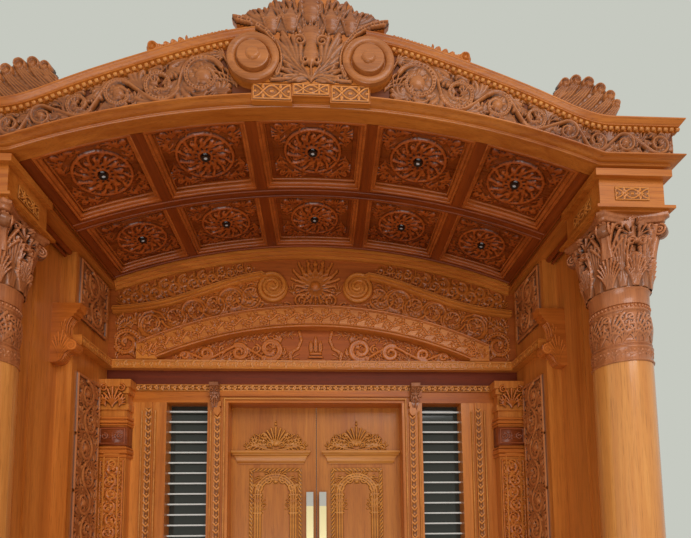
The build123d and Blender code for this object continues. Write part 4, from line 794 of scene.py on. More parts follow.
def frieze_ends():
    """Board with a leaf over each end of the frieze."""
    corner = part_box("arch_frieze")[1]
    end_x, back, thick = corner.x, corner.y, 0.003
    low, high = frieze_span(end_x)
    low, high = low + 0.001, high - 0.001
    board = skin([[(x, frieze_face, low), (x, back, low), (x, back, high), (x, frieze_face, high)]
                  for x in (end_x, end_x + thick)])
    work = Carving(frieze_face + 0.002, back - 0.002, low + 0.002, high - 0.002, 0.0034)
    work.border(0.005, 0.0034, 0.006)
    work.plume((frieze_face + back) / 2, low + 0.013, 0.78 * (high - low - 0.014), 90, 0,
               0.009, 7, 60, 0.0042)
    relief = work.parts(lambda u, v, h: points_of(end_x + thick + h, u, v))
    make("frieze_ends", both_sides(board, relief), teak_carved, sharp=60)


# Sections of the mouldings of the front, as reach from the block face and lift
CORNICE_SECTION = [
    (-0.045, 0.0), (0.069, 0.0), (0.07, -0.001), (0.07, -0.006), (0.067, -0.008), (0.064, -0.012),
    (0.06, -0.018), (0.0555, -0.0225), (0.053, -0.024), (0.053, -0.027), (0.046, -0.028), (0.0405, -0.03),
    (0.039, -0.038), (0.0405, -0.045), (0.042, -0.048), (-0.045, -0.048)]
ARCHITRAVE_SECTION = [
    (-0.048, 0.0), (0.016, 0.0), (0.0205, 0.001), (0.023, 0.004), (0.0225, 0.008), (0.024, 0.01),
    (0.033, 0.0105), (0.04, 0.013), (0.046, 0.0165), (0.055, 0.0195), (0.063, 0.0205), (0.065, 0.022),
    (0.065, 0.0265), (0.063, 0.028), (-0.048, 0.028)]
RAIL_SECTION = [
    (0.02, -0.002), (0.02, 0.016), (0.024, 0.02), (0.042, 0.02), (0.046, 0.017), (0.046, -0.002)]


def bead_shape():
    """Short reel, a little flattened, for one bead."""
    rows = []
    for along, fat in ((-1.0, 0.72), (-0.8, 0.95), (0.0, 1.0), (0.8, 0.95), (1.0, 0.72)):
        turn = circle(8) + pi / 8
        rows.append(points_of(0.0082 * along, 0.0074 * fat * np.cos(turn), 0.0092 * fat * np.sin(turn)))
    points, faces, _ = skin(rows)
    mesh = bpy.data.meshes.new("bead_shape")
    mesh.from_pydata(points.tolist(), [], faces.tolist())
    return bpy.data.objects.new("bead_shape", mesh)


def repeat_tree(name, shape, material):
    """Geometry Nodes that set a shape at an even pitch along each spline, turned to follow it."""
    tree = bpy.data.node_groups.new(name, "GeometryNodeTree")
    for socket, kind in (("Geometry", "Geometry"), ("Pitch", "Float"), ("Size", "Float")):
        tree.interface.new_socket(socket, in_out="INPUT", socket_type="NodeSocket" + kind)
    tree.interface.new_socket("Geometry", in_out="OUTPUT", socket_type="NodeSocketGeometry")
    add = tree.nodes.new
    source = add("NodeGroupInput")
    curve = add("GeometryNodeMeshToCurve")
    resample = add("GeometryNodeResampleCurve")
    resample.mode = "LENGTH"
    tangent = add("GeometryNodeInputTangent")
    align = add("FunctionNodeAlignRotationToVector")
    align.axis = "X"
    align.pivot_axis = "AUTO"
    thing = add("GeometryNodeObjectInfo")
    thing.inputs["Object"].default_value = shape
    copy = add("GeometryNodeInstanceOnPoints")
    real = add("GeometryNodeRealizeInstances")
    finish = add("GeometryNodeSetMaterial")
    finish.inputs["Material"].default_value = material
    out = add("NodeGroupOutput")
    for giver, output, taker, entry in (
            (source, "Geometry", curve, 0), (curve, 0, resample, "Curve"),
            (source, "Pitch", resample, "Length"), (tangent, 0, align, "Vector"),
            (resample, 0, copy, "Points"), (thing, "Geometry", copy, "Instance"),
            (align, 0, copy, "Rotation"), (source, "Size", copy, "Scale"),
            (copy, 0, real, 0), (real, 0, finish, "Geometry"), (finish, 0, out, 0)):
        tree.links.new(giver.outputs[output], taker.inputs[entry])
    return tree


def repeated(name, paths, shape, pitch, material, body="portal", size=1.0):
    """A shape repeated along paths, as one plain mesh piece."""
    points, edges = [], []
    for path in paths:
        first = len(points)
        points += [tuple(p) for p in path]
        edges += [(first + i, first + i + 1) for i in range(len(path) - 1)]
    mesh = bpy.data.meshes.new(name + "_path")
    mesh.from_pydata(points, edges, [])
    carrier = bpy.data.objects.new(name + "_path", mesh)
    bpy.context.scene.collection.objects.link(carrier)
    tree = repeat_tree(name, shape, material)
    modifier = carrier.modifiers.new("repeat", "NODES")
    modifier.node_group = tree
    settings = {"Pitch": pitch, "Size": size}
    for item in tree.interface.items_tree:
        if item.in_out == "INPUT" and item.name in settings:
            modifier[item.identifier] = settings[item.name]
    carrier.update_tag()
    view = bpy.context.view_layer
    view.update()
    result = bpy.data.meshes.new_from_object(carrier.evaluated_get(view.depsgraph))
    carrier.modifiers.remove(modifier)
    bpy.data.objects.remove(carrier)
    result.name = name
    result.polygons.foreach_set("use_smooth", np.ones(len(result.polygons), bool))
    if not result.materials:
        result.materials.append(material)
    piece = bpy.data.objects.new(name, result)
    bpy.context.scene.collection.objects.link(piece)
    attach(piece, body)


def cornices():
    """Cornice with the low carved rail and its curl on top, and the beads under it."""
    moulding = front_moulding(CORNICE_SECTION, cornice_line, 0.2352, 90)
    section = np.array(RAIL_SECTION)
    rail = skin([points_of(x, block_face - section[:, 0], cornice_line(x) + section[:, 1])
                 for x in np.linspace(0.341, 0.69, 40)])
    curl = Carving(0.345, 0.705, 3.5, 3.76, 0.0026)
    curl_x = 0.668
    curl_z = float(cornice_line(curl_x)) + 0.038
    curl.stroke([(curl_x, curl_z), (curl_x, curl_z)], 0.025, 0.01, np.ones_like)
    curl.stroke([(0.662, curl_z - 0.03), (0.664, curl_z - 0.01)], 0.018, 0.012, np.ones_like)
    curl.scroll(curl_x, curl_z, 0.025, -60, -1, 0.0085, 0.024, 1.4, 0.8)
    curl.dome(curl_x, curl_z, 0.01, 0.022)
    spine = [(x, float(cornice_line(x)) + 0.016 + 0.02 * max(0.0, (x - 0.52) / 0.13))
             for x in np.linspace(0.345, 0.65, 16)]
    curl.stroke(spine, 0.013, 0.012)
    for x in np.arange(0.352, 0.64, 0.03):
        curl.lobe(x, float(cornice_line(x)) + 0.008, 24, 0.03, 40, 0.016, 0.022)
        curl.dome(x + 0.008, float(cornice_line(x + 0.008)) + 0.012, 0.0135, 0.018)
    curl.keep(lambda u, v: (v > cornice_line(u, 0.0005)) & ((v < cornice_line(u, 0.027)) | (u > 0.52)))
    curl = curl.parts(on_screen(block_face - 0.034), back=0.012)
    make_pair("arch_cornice_moulding", [moulding, rail, curl], teak_across, "arch_cornice", sharp=32)
    xs = np.linspace(VOLUTE_X + VOLUTE_RADIUS + 0.004, FRONT_END + 0.046, 150)
    front = [(x, block_face - 0.046, float(cornice_line(x, -0.0375))) for x in xs]
    back = [(xs[-1], block_face + d, front[-1][2]) for d in np.linspace(-0.03, 0.04, 8)]
    paths = [[(side * x, y, z) for x, y, z in run] for side in (-1, 1) for run in (front, back)]
    repeated("cornice_beads", paths, bead_shape(), 0.0268, teak_bead)


def architrave():
    """Stepped moulding below the frieze, flatter in front of the keystone."""
    half = front_moulding(ARCHITRAVE_SECTION, arch_line, KEYSTONE_HALF, 70)
    flat = [(max(-0.048, min(reach, 0.028)), lift) for reach, lift in ARCHITRAVE_SECTION]
    middle = skin([[(x, block_face - reach, float(arch_line(x)) + lift) for reach, lift in flat]
                   for x in np.linspace(-KEYSTONE_HALF, KEYSTONE_HALF, 20)])
    make("architrave_moulding", [*both_sides(half), middle], teak_across, replaced=["arch_architrave"],
         sharp=32)


def volute(x, z, radius, face, hand, outer, top, sides=72):
    """Round volute: a rounded rim that winds in to a raised disc, with a smaller one on it."""
    boss_edge, disc_edge, wind = 0.28, 0.62, 0.035
    turn = circle(sides)
    rows = []
    for share in np.concatenate([np.linspace(0.0, 0.27, 8), np.linspace(0.275, 0.62, 14),
                                 np.linspace(0.625, 1.0, 22)]):
        s = share + wind * (hand * turn / (2 * pi) + 0.5) % wind * (share < 0.9)
        rim = outer * (0.34 + 0.66 * rounded((s - 0.84) / 0.17))
        disc = outer + 0.35 * (top - outer) * np.clip((disc_edge - s) / 0.05, 0.0, 1.0) ** 0.5
        boss = outer + (top - outer) * (0.35 + 0.65 * np.clip((boss_edge - s) / 0.07, 0.0, 1.0) ** 0.5)
        level = np.where(s < boss_edge, boss, np.where(s < disc_edge, disc, rim))
        if share == 1.0:
            level = np.full(sides, -0.001)
        reach = radius * min(1.0, share / 0.985)
        rows.append(points_of(x + reach * np.cos(turn), face - level, z + reach * np.sin(turn)))
    return skin(rows, facing=TO_VIEWER, shade=0.62)


def guilloche(work, low, high, middle, reach, height, count):
    """Row of crossing straps with a small flower in each crossing."""
    step = (high - low) / count
    share = np.linspace(0.0, 1.0, 12)
    for i in range(count):
        u = low + i * step
        for side in (-1, 1):
            work.stroke(points_of(u + step * share, middle + side * 0.8 * reach * np.cos(pi * share)),
                        0.13 * reach, height)
            work.lobe(u + 0.5 * step, middle + side * 0.28 * reach, 90 * side, 0.62 * reach, 0,
                      0.22 * reach, height)
            work.dome(u + (0.5 + 0.45 * side) * step, middle, 0.2 * reach, height)
        work.dome(u + 0.5 * step, middle, 0.18 * reach, 1.2 * height)


def crest():
    """Carving of the crest and its volutes."""
    work = Carving(-0.345, 0.345, 3.468, 3.89, 0.003)
    for side in (-1, 1):
        def way(angle):
            return angle if side > 0 else 180 - angle

        for u, v, length, angle, bend in (
                (0.04, 3.69, 0.185, 74, -14), (0.07, 3.69, 0.185, 58, 10), (0.1, 3.69, 0.19, 44, 16),
                (0.135, 3.705, 0.175, 32, 18), (0.175, 3.725, 0.145, 22, 20), (0.215, 3.742, 0.115, 12, 16)):
            work.plume(side * u, v, length, way(angle), side * bend, 0.013, 7, 46)
        for u, v, half in ((0.086, 3.757, 0.036), (0.168, 3.745, 0.034)):
            work.stroke([(side * u, v - 0.03), (side * u, v), (side * u, v + 0.04)],
                        [0.8 * half, half, 0.4 * half], [0.016, 0.022, 0.017])
            for lean in (-1, 0, 1):
                work.lobe(side * u + lean * 0.45 * half, v - 0.05, 90 - lean * 4, 0.085, -lean * 30,
                          0.01, 0.0215)
        under = [(side * x, z) for x, z in
                 ((0.337, 3.75), (0.3, 3.744), (0.262, 3.735), (0.222, 3.715), (0.186, 3.69),
                  (0.157, 3.655), (0.137, 3.615), (0.128, 3.575), (0.13, 3.535), (0.142, 3.5))]
        work.stroke(under, np.linspace(0.013, 0.008, 10), 0.022, reeded)
        for u, v, length, angle, bend, high, ribs, spread in (
                (0.055, 3.505, 0.2, 88, -34, 0.015, 5, 36), (0.09, 3.5, 0.19, 96, -44, 0.012, 4, 30),
                (0.004, 3.49, 0.135, 34, -20, 0.016, 6, 60), (0.02, 3.482, 0.15, 10, -12, 0.014, 6, 50),
                (0.115, 3.478, 0.1, 16, 30, 0.013, 5, 70)):
            work.plume(side * u, v, length, way(angle), side * bend, high, ribs, spread)
        start = 90 - side * 90 + side * 40
        work.scroll(side * 0.047, 3.655, 0.024, start, side, 0.007, 0.019, 1.3)
        work.scroll(side * 0.026, 3.568, 0.018, start, -side, 0.006, 0.019, 1.3)
    for angle in (-50, -25, 0, 25, 50):
        work.lobe(0.0, 3.64, 90 - angle, 0.11, angle * 0.8, 0.015, 0.017)
    work.stroke([(0, 3.565), (0, 3.6), (0, 3.64), (0, 3.69)], [0.022, 0.036, 0.026, 0.044], 0.019)
    work.stroke([(0, 3.775), (0, 3.812), (0, 3.87)], [0.036, 0.042, 0.018], [0.018, 0.022, 0.018])
    for lean in (-1, 0, 1):
        work.lobe(lean * 0.018, 3.758, 90 - lean * 24, 0.12, lean * 40, 0.015, 0.0215)
    work.plume(0.0, 3.474, 0.09, 90, 0, 0.018, 5, 90)
    top_x = [0.0, 0.047, 0.06, 0.1, 0.121, 0.161, 0.188, 0.261, 0.281, 0.334]
    top_z = [3.884, 3.88, 3.862, 3.874, 3.844, 3.85, 3.81, 3.792, 3.769, 3.761]
    foot_x = [0.0, 0.234, 0.236, 0.316, 0.335]
    foot_z = [3.472, 3.472, 3.719, 3.735, 3.764]

    def inside(u, v):
        reach = np.abs(u)
        between = (v < np.interp(reach, top_x, top_z)) & (v > np.interp(reach, foot_x, foot_z))
        return between & (np.hypot(reach - VOLUTE_X, v - VOLUTE_Z) > VOLUTE_RADIUS + 0.0015)

    work.keep(inside)
    make("crest_scrollwork", [work.parts(on_screen(crest_face))], teak_carved, replaced=["crest_carving"])
    right = volute(VOLUTE_X, VOLUTE_Z, VOLUTE_RADIUS, crest_face, 1.0, 0.024, 0.0395)
    make("crest_volute_pair", both_sides(right), teak_volute, replaced=["crest_volutes"], sharp=40)


def keystone_flowers():
    """Small flower panels on the three keystone blocks."""
    parts = []
    for low, high, foot, front in ((-0.246, -0.084, 3.396, 0.0242), (0.084, 0.246, 3.396, 0.0242),
                                   (-0.076, 0.076, 3.417, 0.0292)):
        top = 3.468
        middle = (foot + top) / 2
        plaque = Carving(low, high, foot, top, 0.0025)
        plaque.stroke([(low, middle), (high, middle)], top - foot, 0.0012, np.ones_like)
        guilloche(plaque, low + 0.008, high - 0.008, middle, (top - foot) / 2 - 0.004, 0.0075, 2)
        plaque.border(0.0035, 0.0035, 0.006)
        parts.append(plaque.parts(on_screen(frieze_face - front)))
    make("keystone_flowers", parts, teak_edge)


def fans():
    """Banks of curls on the ends of the cornice."""
    work = Carving(1.05, 1.36, 3.36, 3.566, 0.0028)
    curls = ((1.102, 3.52, 0.023), (1.151, 3.532, 0.027), (1.206, 3.523, 0.0285), (1.257, 3.496, 0.028),
             (1.299, 3.465, 0.026), (1.326, 3.43, 0.019))
    ridge = [(x - 0.003, z - 0.003) for x, z, radius in curls]
    work.stroke(ridge, 0.022, 0.023, np.ones_like)
    for drop in (0.025, 0.05, 0.075, 0.1):
        work.stroke([(x - 0.45 * drop, z - drop) for x, z in ridge], 0.026, 0.019)
    for x, z, radius in curls:
        share = np.linspace(0.0, 1.0, 14)
        for lane in range(4):
            off = (lane - 1.5) * 0.0125
            path_x = x - 0.052 * (1 - share)**1.2 - 0.046 * (1 - share) + off * (0.72 - 0.3 * share) + 0.006
            path_z = z - 0.1 * (1 - share)**0.85 - off * (0.7 - 0.25 * share)
            rise = 0.025 + 0.009 * share - 0.001 * abs(lane - 1.5)
            work.stroke(points_of(path_x, path_z), 0.0062, rise)
        work.stroke([(x, z), (x, z)], radius, 0.026, np.ones_like)
        work.dome(x, z, 0.98 * radius, 0.036)
        work.scroll(x, z, 0.96 * radius, 200, -1, 0.27 * radius, 0.043, 1.15, 0.8)
    work.keep(lambda u, v: (v > cornice_line(u, 0.0005)) & (u > 1.055) & (u < 1.352))
    make_pair("fan_curls", [work.parts(on_screen(block_face - 0.018), back=0.0015)], teak_carved, "fan")


def lathed(profile, x, sides=64):
    """Turned shape round the axis of a column from radius and height pairs."""
    turn = circle(sides)
    return skin([points_of(x + r * np.sin(turn), column_y - r * np.cos(turn), z) for r, z in profile])


def ball(x, y, z, radius):
    """Small bead with flattened ends."""
    turn = circle(6)
    rows = []
    for t in np.linspace(-0.9, 0.9, 4):
        r = radius * sqrt(1 - t**2)
        rows.append(points_of(x + r * np.cos(turn), y + r * np.sin(turn), z + radius * t))
    # Painted highlight on the bead, from its high relief value
    return skin(rows, shade=0.8)


def column_collar(side):
    """Carved collar under the capital: small leaves, a groove and a swelling band of curled leaves."""
    x = side * column_x
    foot, top = shaft_top, collar_top
    girth = 0.1235
    around = 2 * pi * girth

    def swell(z):
        share = np.clip((z - foot - 0.086) / 0.142, 0.0, 1.0)
        return np.where(z > foot + 0.078, 0.116 + 0.0075 * np.sin(pi * share), 0.1215)

    sheet = Carving(0.0, around, foot + 0.008, foot + 0.236, 0.0036)
    count = 8
    step = around / count
    for i in range(-1, count + 1):
        u = step * i
        sheet.plume(u, foot + 0.088, 0.15, 92, -58, 0.006, 6, 50)
        sheet.plume(u + 0.36 * step, foot + 0.088, 0.105, 66, 52, 0.0066, 5, 60)
        sheet.scroll(u + 0.74 * step, foot + 0.196, 0.02, 200, -1, 0.0062, 0.007, 1.2)
        sheet.plume(u + 0.84 * step, foot + 0.1, 0.07, 84, 26, 0.007, 4, 60)
        sheet.plume(u + 0.3 * step, foot + 0.224, 0.05, -60, -50, 0.0056, 4, 70)
    small = around / 22
    for i in range(-1, 23):
        u = small * i
        sheet.plume(u, foot + 0.02, 0.038, 60, 40, 0.005, 4, 70)
        sheet.dome(u + 0.5 * small, foot + 0.05, 0.006, 0.005)
    sheet.height = np.minimum(sheet.height, 0.0088)
    sheet.height[(sheet.v > foot + 0.06) & (sheet.v < foot + 0.086)] = 0.0
    sheet.height[:, -1] = sheet.height[:, 0]

    profile = [(radius, foot + lift) for radius, lift in
               ((0.1195, 0.0), (0.1265, 0.0005), (0.1275, 0.005), (0.1245, 0.009), (0.1225, 0.011),
                (0.1225, 0.058), (0.1255, 0.061), (0.1262, 0.066), (0.1235, 0.07),
                (0.1165, 0.073), (0.1165, 0.078), (0.1225, 0.081), (0.1225, 0.085))]
    profile += [(float(swell(np.array(z))), z) for z in np.linspace(foot + 0.087, foot + 0.228, 9)]
    profile += [(radius, top - drop) for radius, drop in
                ((0.1222, 0.028), (0.123, 0.022), (0.12, 0.018), (0.12, 0.016), (0.119, 0.0))]
    beads = []
    count = 44
    for k in range(count):
        a = 2 * pi * k / count
        beads.append(ball(x + 0.12 * sin(a), column_y - 0.12 * cos(a), top - 0.01, 0.0065))
    return [lathed(profile, x), sheet.parts(round_column(x, girth, swell))] + beads


BELL_FOOT = collar_top + 0.076
BELL_TOP = capital_top - 0.034
ABACUS_HALF = 0.165


def bell_radius(z):
    share = np.clip((z - BELL_FOOT) / (BELL_TOP - BELL_FOOT), 0.0, 1.0)
    return 0.124 + 0.036 * share**2.0


def corner_volute(x, angle, z, radius, width, out):
    """Volute standing on edge at a corner of the capital, with its stem rising from the leaves."""
    way = np.array([sin(angle), -cos(angle), 0.0])
    across = np.array([cos(angle), sin(angle), 0.0])
    up = np.array([0.0, 0.0, 1.0])
    centre = np.array([x, column_y, z]) + out * way
    sides = 24
    turn = circle(sides)
    parts = []
    for face in (-1, 1):
        rows = []
        for share in np.linspace(0.0, 1.0, 14):
            wind = (share * 1.8 + face * turn / (2 * pi)) % 1.0
            groove = 0.0045 * (np.abs(wind - 0.5) < 0.14) * (share < 0.95)
            level = width * (0.5 + 0.22 * (1 - share)) - groove
            if share > 0.99:
                level = np.zeros(sides)
            reach = radius * share
            rows.append(centre + face * level[:, None] * across + reach * np.cos(turn)[:, None] * way
                        + reach * np.sin(turn)[:, None] * up)
        # Painted shade on the faces of the volute, from their low relief value
        parts.append(skin(rows, facing=face * across, shade=0.42))
        along = np.linspace(0.0, 1.0, 36)
        wind = radians(100) + 2 * pi * 1.7 * along
        reach = (radius - 0.004) * (1 - 0.82 * along)
        path = (centre + face * (0.66 * width) * across + (reach * -np.cos(wind))[:, None] * way
                + (reach * np.sin(wind))[:, None] * up)
        points, faces, _ = rod(path, 0.0046, 6, up=across)
        # Painted highlight on the spiral ridge, from its high relief value
        parts.append((points, faces, np.full(len(points), 0.85)))
    rows = []
    for share in np.linspace(0.0, 1.0, 14):
        lean = radians(-62 + 162 * share)
        reach = out - 0.03 * (1 - share) + (radius - 0.004) * sin(lean) * share * 0.5
        rise = z - 0.115 * (1 - share)**1.3 + (radius - 0.003) * share
        middle = np.array([x, column_y, 0.0]) + reach * way + rise * up
        wide = 0.026 - 0.01 * share
        normal = cos(lean * 0.5) * way + sin(lean * 0.5) * up
        rows.append([middle + a * wide * across + b * normal for a, b in
                     ((-1, -0.016), (-0.9, 0.0), (-0.55, 0.006), (-0.2, 0.002),
                      (0.2, 0.002), (0.55, 0.006), (0.9, 0.0), (1, -0.016))])
    parts.append(skin(rows, shade=0.6))
    return parts


def capital_parts(side):
    """Carved capital: smooth neck, two rows of leaves round a bell, volutes and a hollowed slab."""
    x = side * column_x
    girth = 0.132
    around = 2 * pi * girth
    sheet = Carving(0.0, around, BELL_FOOT - 0.004, BELL_TOP, 0.003)
    for count, shift, length, high in ((8, 0.5, 0.215, 0.018), (8, 0.0, 0.128, 0.024)):
        for i in range(-1, count + 1):
            u = around * (i + shift) / count
            wide = around / count
            body = [(u, BELL_FOOT), (u, BELL_FOOT + 0.5 * length), (u, BELL_FOOT + 0.9 * length)]
            sheet.stroke(body, [0.3 * wide, 0.46 * wide, 0.34 * wide], [0.4 * high, 0.6 * high, 0.8 * high])
            turn_out = 0.128 / length
            for lane in range(-4, 5):
                reach = length * (1.0 - 0.024 * lane * lane)
                path = bent_path(u + 0.028 * lane * wide, BELL_FOOT - 0.002, 90 - 2.0 * lane * turn_out,
                                 reach, -6.6 * lane * turn_out, 9)
                grow = np.linspace(0.0, 1.0, 10)
                sheet.stroke(path, 0.0034 + 0.0022 * grow, high * (0.62 + 0.66 * grow**2))
    for i in range(4):
        u = around * i / 4
        for lean in (-1, 1):
            for turn in (0.0, around) if i == 0 else (0.0,):
                at = u + turn + lean * 0.0195
                sheet.scroll(at, BELL_TOP - 0.1, 0.0165, 90 + lean * 90, -lean, 0.0062, 0.03, 1.4)
                stem = bent_path(at + lean * 0.014, BELL_FOOT + 0.07, 90 - lean * 4, 0.11, lean * 12, 8)
                sheet.stroke(stem, 0.006, 0.026)
                sheet.plume(at - lean * 0.008, BELL_TOP - 0.078, 0.062, 90 - lean * 30, -lean * 20,
                            0.02, 4, 60)
                sheet.scroll(at + lean * 0.04, BELL_TOP - 0.03, 0.014, 90 - lean * 90, lean,
                             0.005, 0.02, 1.2)
        sheet.flower(u, BELL_TOP - 0.014, 0.016, 0.028, 5)
        sheet.plume(u + around / 8, BELL_FOOT + 0.07, 0.212, 90, 0, 0.03, 7, 34, 0.0072)
    sheet.height[:, -1] = sheet.height[:, 0]
    neck = [(radius, collar_top + lift) for radius, lift in
            ((0.1195, 0.0), (0.1225, 0.001), (0.1225, 0.01), (0.1215, 0.013), (0.1225, 0.02))]
    bell = [(radius, BELL_FOOT + lift) for radius, lift in
            ((0.1225, -0.014), (0.128, -0.01), (0.129, -0.004), (0.126, 0.0), (0.124, 0.01), (0.125, 0.1),
             (0.131, 0.18))]
    drum = lathed(neck + bell + [(0.148, BELL_TOP), (0.02, BELL_TOP)], x)
    parts = [drum, sheet.parts(round_column(x, girth, bell_radius))]
    for k in range(4):
        parts += corner_volute(x, pi / 4 + k * pi / 2, BELL_TOP - 0.04, 0.029, 0.036, 0.182)
    outline = []
    cut = ABACUS_HALF - 0.022
    for k in range(4):
        turn = k * pi / 2
        for share in np.linspace(-1.0, 1.0, 15):
            u = cut * share
            v = ABACUS_HALF - 0.028 * (1 - share * share)
            outline.append((u * cos(turn) - v * sin(turn), u * sin(turn) + v * cos(turn)))
        outline.append((ABACUS_HALF * cos(turn) - cut * sin(turn), ABACUS_HALF * sin(turn) + cut * cos(turn)))
    outline = np.array(outline)
    order = np.argsort(np.arctan2(outline[:, 1], outline[:, 0]))
    outline = outline[order]
    edge = [(share, BELL_TOP + lift) for share, lift in
            ((0.1, 0.0), (0.9, 0.0), (0.92, 0.004), (0.925, 0.012), (0.95, 0.016), (0.995, 0.02),
             (1.0, 0.023))]
    edge += [(1.0, capital_top), (0.1, capital_top)]
    parts.append(skin([points_of(x + share * outline[:, 0], column_y + share * outline[:, 1], z)
                       for share, z in edge]))
    for k in range(4):
        turn = k * pi / 2
        flower = Carving(-0.034, 0.034, BELL_TOP - 0.008, capital_top - 0.001, 0.003)
        flower.flower(0.0, BELL_TOP + 0.012, 0.021, 0.011, 6)
        for lean in (-1, 1):
            flower.leaf(lean * 0.012, BELL_TOP + 0.012, 0.024, 90 - lean * 90, 0, 0.008, 3, 0.7)

        def stand(u, v, h, turn=turn):
            depth = ABACUS_HALF - 0.03 + h
            return points_of(x + u * cos(turn) + depth * sin(turn),
                             column_y + u * sin(turn) - depth * cos(turn), v)

        parts.append(flower.parts(stand))
    return parts


def columns():
    for side, name in ((1, "right_capital"), (-1, "left_capital")):
        make(name + "_carved", capital_parts(side), teak_carved_upright, replaced=[name], sharp=60)
    make("column_collars_carved", column_collar(1) + column_collar(-1), teak_carved_upright,
         replaced=["column_collars"])


def impost_flowers():
    """Small flower panels on the front and the inner face of the column blocks."""
    low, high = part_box("impost_ornaments")
    middle = (low.z + high.z) / 2
    work = Carving(-0.077, 0.077, -0.031, 0.031, 0.0022)
    work.stroke([(-0.08, 0), (0.08, 0)], 0.05, 0.0015, np.ones_like)
    guilloche(work, -0.072, 0.072, 0.0, 0.026, 0.008, 2)
    work.border(0.003, 0.0032, 0.006)
    for lean in (-1, 1):
        work.plume(lean * 0.014, 0.0, 0.034, 90 - lean * 90, 0, 0.009, 3, 60)
    inner_face = column_x - 0.145
    parts = []
    for side in (-1, 1):
        def in_front(u, v, h):
            return points_of(side * column_x + u, block_face - h, middle + v)

        parts.append(work.parts(in_front))
        inner = work.parts(lambda u, v, h: points_of(inner_face - h, column_y - u, middle + v))
        parts.append(inner if side > 0 else mirrored(inner))
    make("impost_flowers", parts, teak_edge, replaced=["impost_ornaments"])


# Coffers of the vault: rows behind the block face, edges across, and depth of a board over the arch
COFFER_ROWS = (0.255, 0.7725)
COFFER_EDGES = (0.0, 0.27, 0.76, 1.225)
COFFER_DEPTH = 0.04
BOARD_THICK = 0.008
PAIRS = [(-1, -1), (-1, 1), (1, -1), (1, 1)]


def coffer_frame(x, depth):
    """Origin and directions of a coffer board: across, along and out of its face."""
    reach = sqrt(ARCH_RADIUS**2 - 0.19**2) - 0.0002
    tilt = np.arcsin(x / ARCH_RADIUS)
    origin = np.array([reach * sin(tilt), block_face + depth, ARCH_CENTRE + COFFER_DEPTH + reach * cos(tilt)])
    across = np.array([cos(tilt), 0.0, -sin(tilt)])
    out = np.array([-sin(tilt), 0.0, -cos(tilt)])
    return origin, across, np.array([0.0, 1.0, 0.0]), out


def coffer_carving():
    """A ring of curled leaves with sprays in the corners."""
    work = Carving(-0.187, 0.187, -0.172, 0.172, 0.0044)
    for radius, half, high, steps in ((0.132, 0.0085, 0.0115, 49), (0.117, 0.004, 0.006, 49),
                                      (0.03, 0.009, 0.0115, 33)):
        hoop = [(radius * cos(t), radius * sin(t)) for t in np.linspace(0, 2 * pi, steps)]
        work.stroke(hoop, half, high)
    for i in range(12):
        angle = 30.0 * i + 8
        turn = radians(angle)
        work.plume(0.034 * cos(turn), 0.034 * sin(turn), 0.092, angle - 10, 62, 0.015, 3, 50, 0.0082)
        work.scroll(0.098 * cos(turn + 0.5), 0.098 * sin(turn + 0.5), 0.0105, angle + 200, 1,
                    0.004, 0.0165, 1.0)
    for k in range(48):
        turn = 2 * pi * k / 48
        work.dome(0.132 * cos(turn), 0.132 * sin(turn), 0.0058, 0.015)
    for side, lean in PAIRS:
        work.plumes([(lean * 0.03, side * 0.15, 0.075, 90 - lean * 90 + side * lean * 8, -side * lean * 30),
                     (side * 0.158, lean * 0.03, 0.07, 90 * lean, side * lean * 30)], 0.01, 4, 60, 0.005)
    for across, along in PAIRS:
        angle = 90 - across * 90 + across * along * 45
        work.flower(across * 0.152, along * 0.138, 0.02, 0.0112, 5)
        for lean, u, v in ((-1, 0.09, 0.15), (1, 0.16, 0.08)):
            work.plume(across * 0.126, along * 0.114, 0.095, angle + lean * 66, -lean * 44, 0.0125, 5, 60)
            work.scroll(across * u, along * v, 0.017, angle + 180, lean, 0.0055, 0.01, 1.3)
    work.height[np.hypot(work.u[None, :], work.v[:, None]) < 0.0215] = 0.0
    return work


def coffers():
    """Carved boards of the vault, each with a hole for its lamp."""
    work = coffer_carving()
    boards, carved = [], []
    middles = [0.0] + [s * (COFFER_EDGES[i] + COFFER_EDGES[i + 1]) / 2 for i in (1, 2) for s in (-1, 1)]
    for x in middles:
        for depth in COFFER_ROWS:
            origin, across, along, out = coffer_frame(x, depth)

            def place(u, v, h):
                return origin + u[:, None] * across + v[:, None] * along + (h[:, None] + BOARD_THICK) * out

            carved.append(work.parts(place))
            rows = []
            for half_u, half_v, level in ((0.19, 0.175, 0.0), (0.19, 0.175, 0.0065),
                                          (0.1885, 0.1735, BOARD_THICK), (0.0175, 0.0175, BOARD_THICK),
                                          (0.0175, 0.0175, 0.0)):
                rows.append([origin + u * half_u * across + v * half_v * along + level * out
                             for u, v in ((-1, -1), (1, -1), (1, 1), (-1, 1))])
            boards.append(skin(rows, shade=0.42))
    make("coffer_carvings", carved, vault_carved, slot="vault_teak", replaced=["coffer_rosettes"])
    make("coffer_boards", boards, vault_carved, slot="vault_teak", smooth=False)


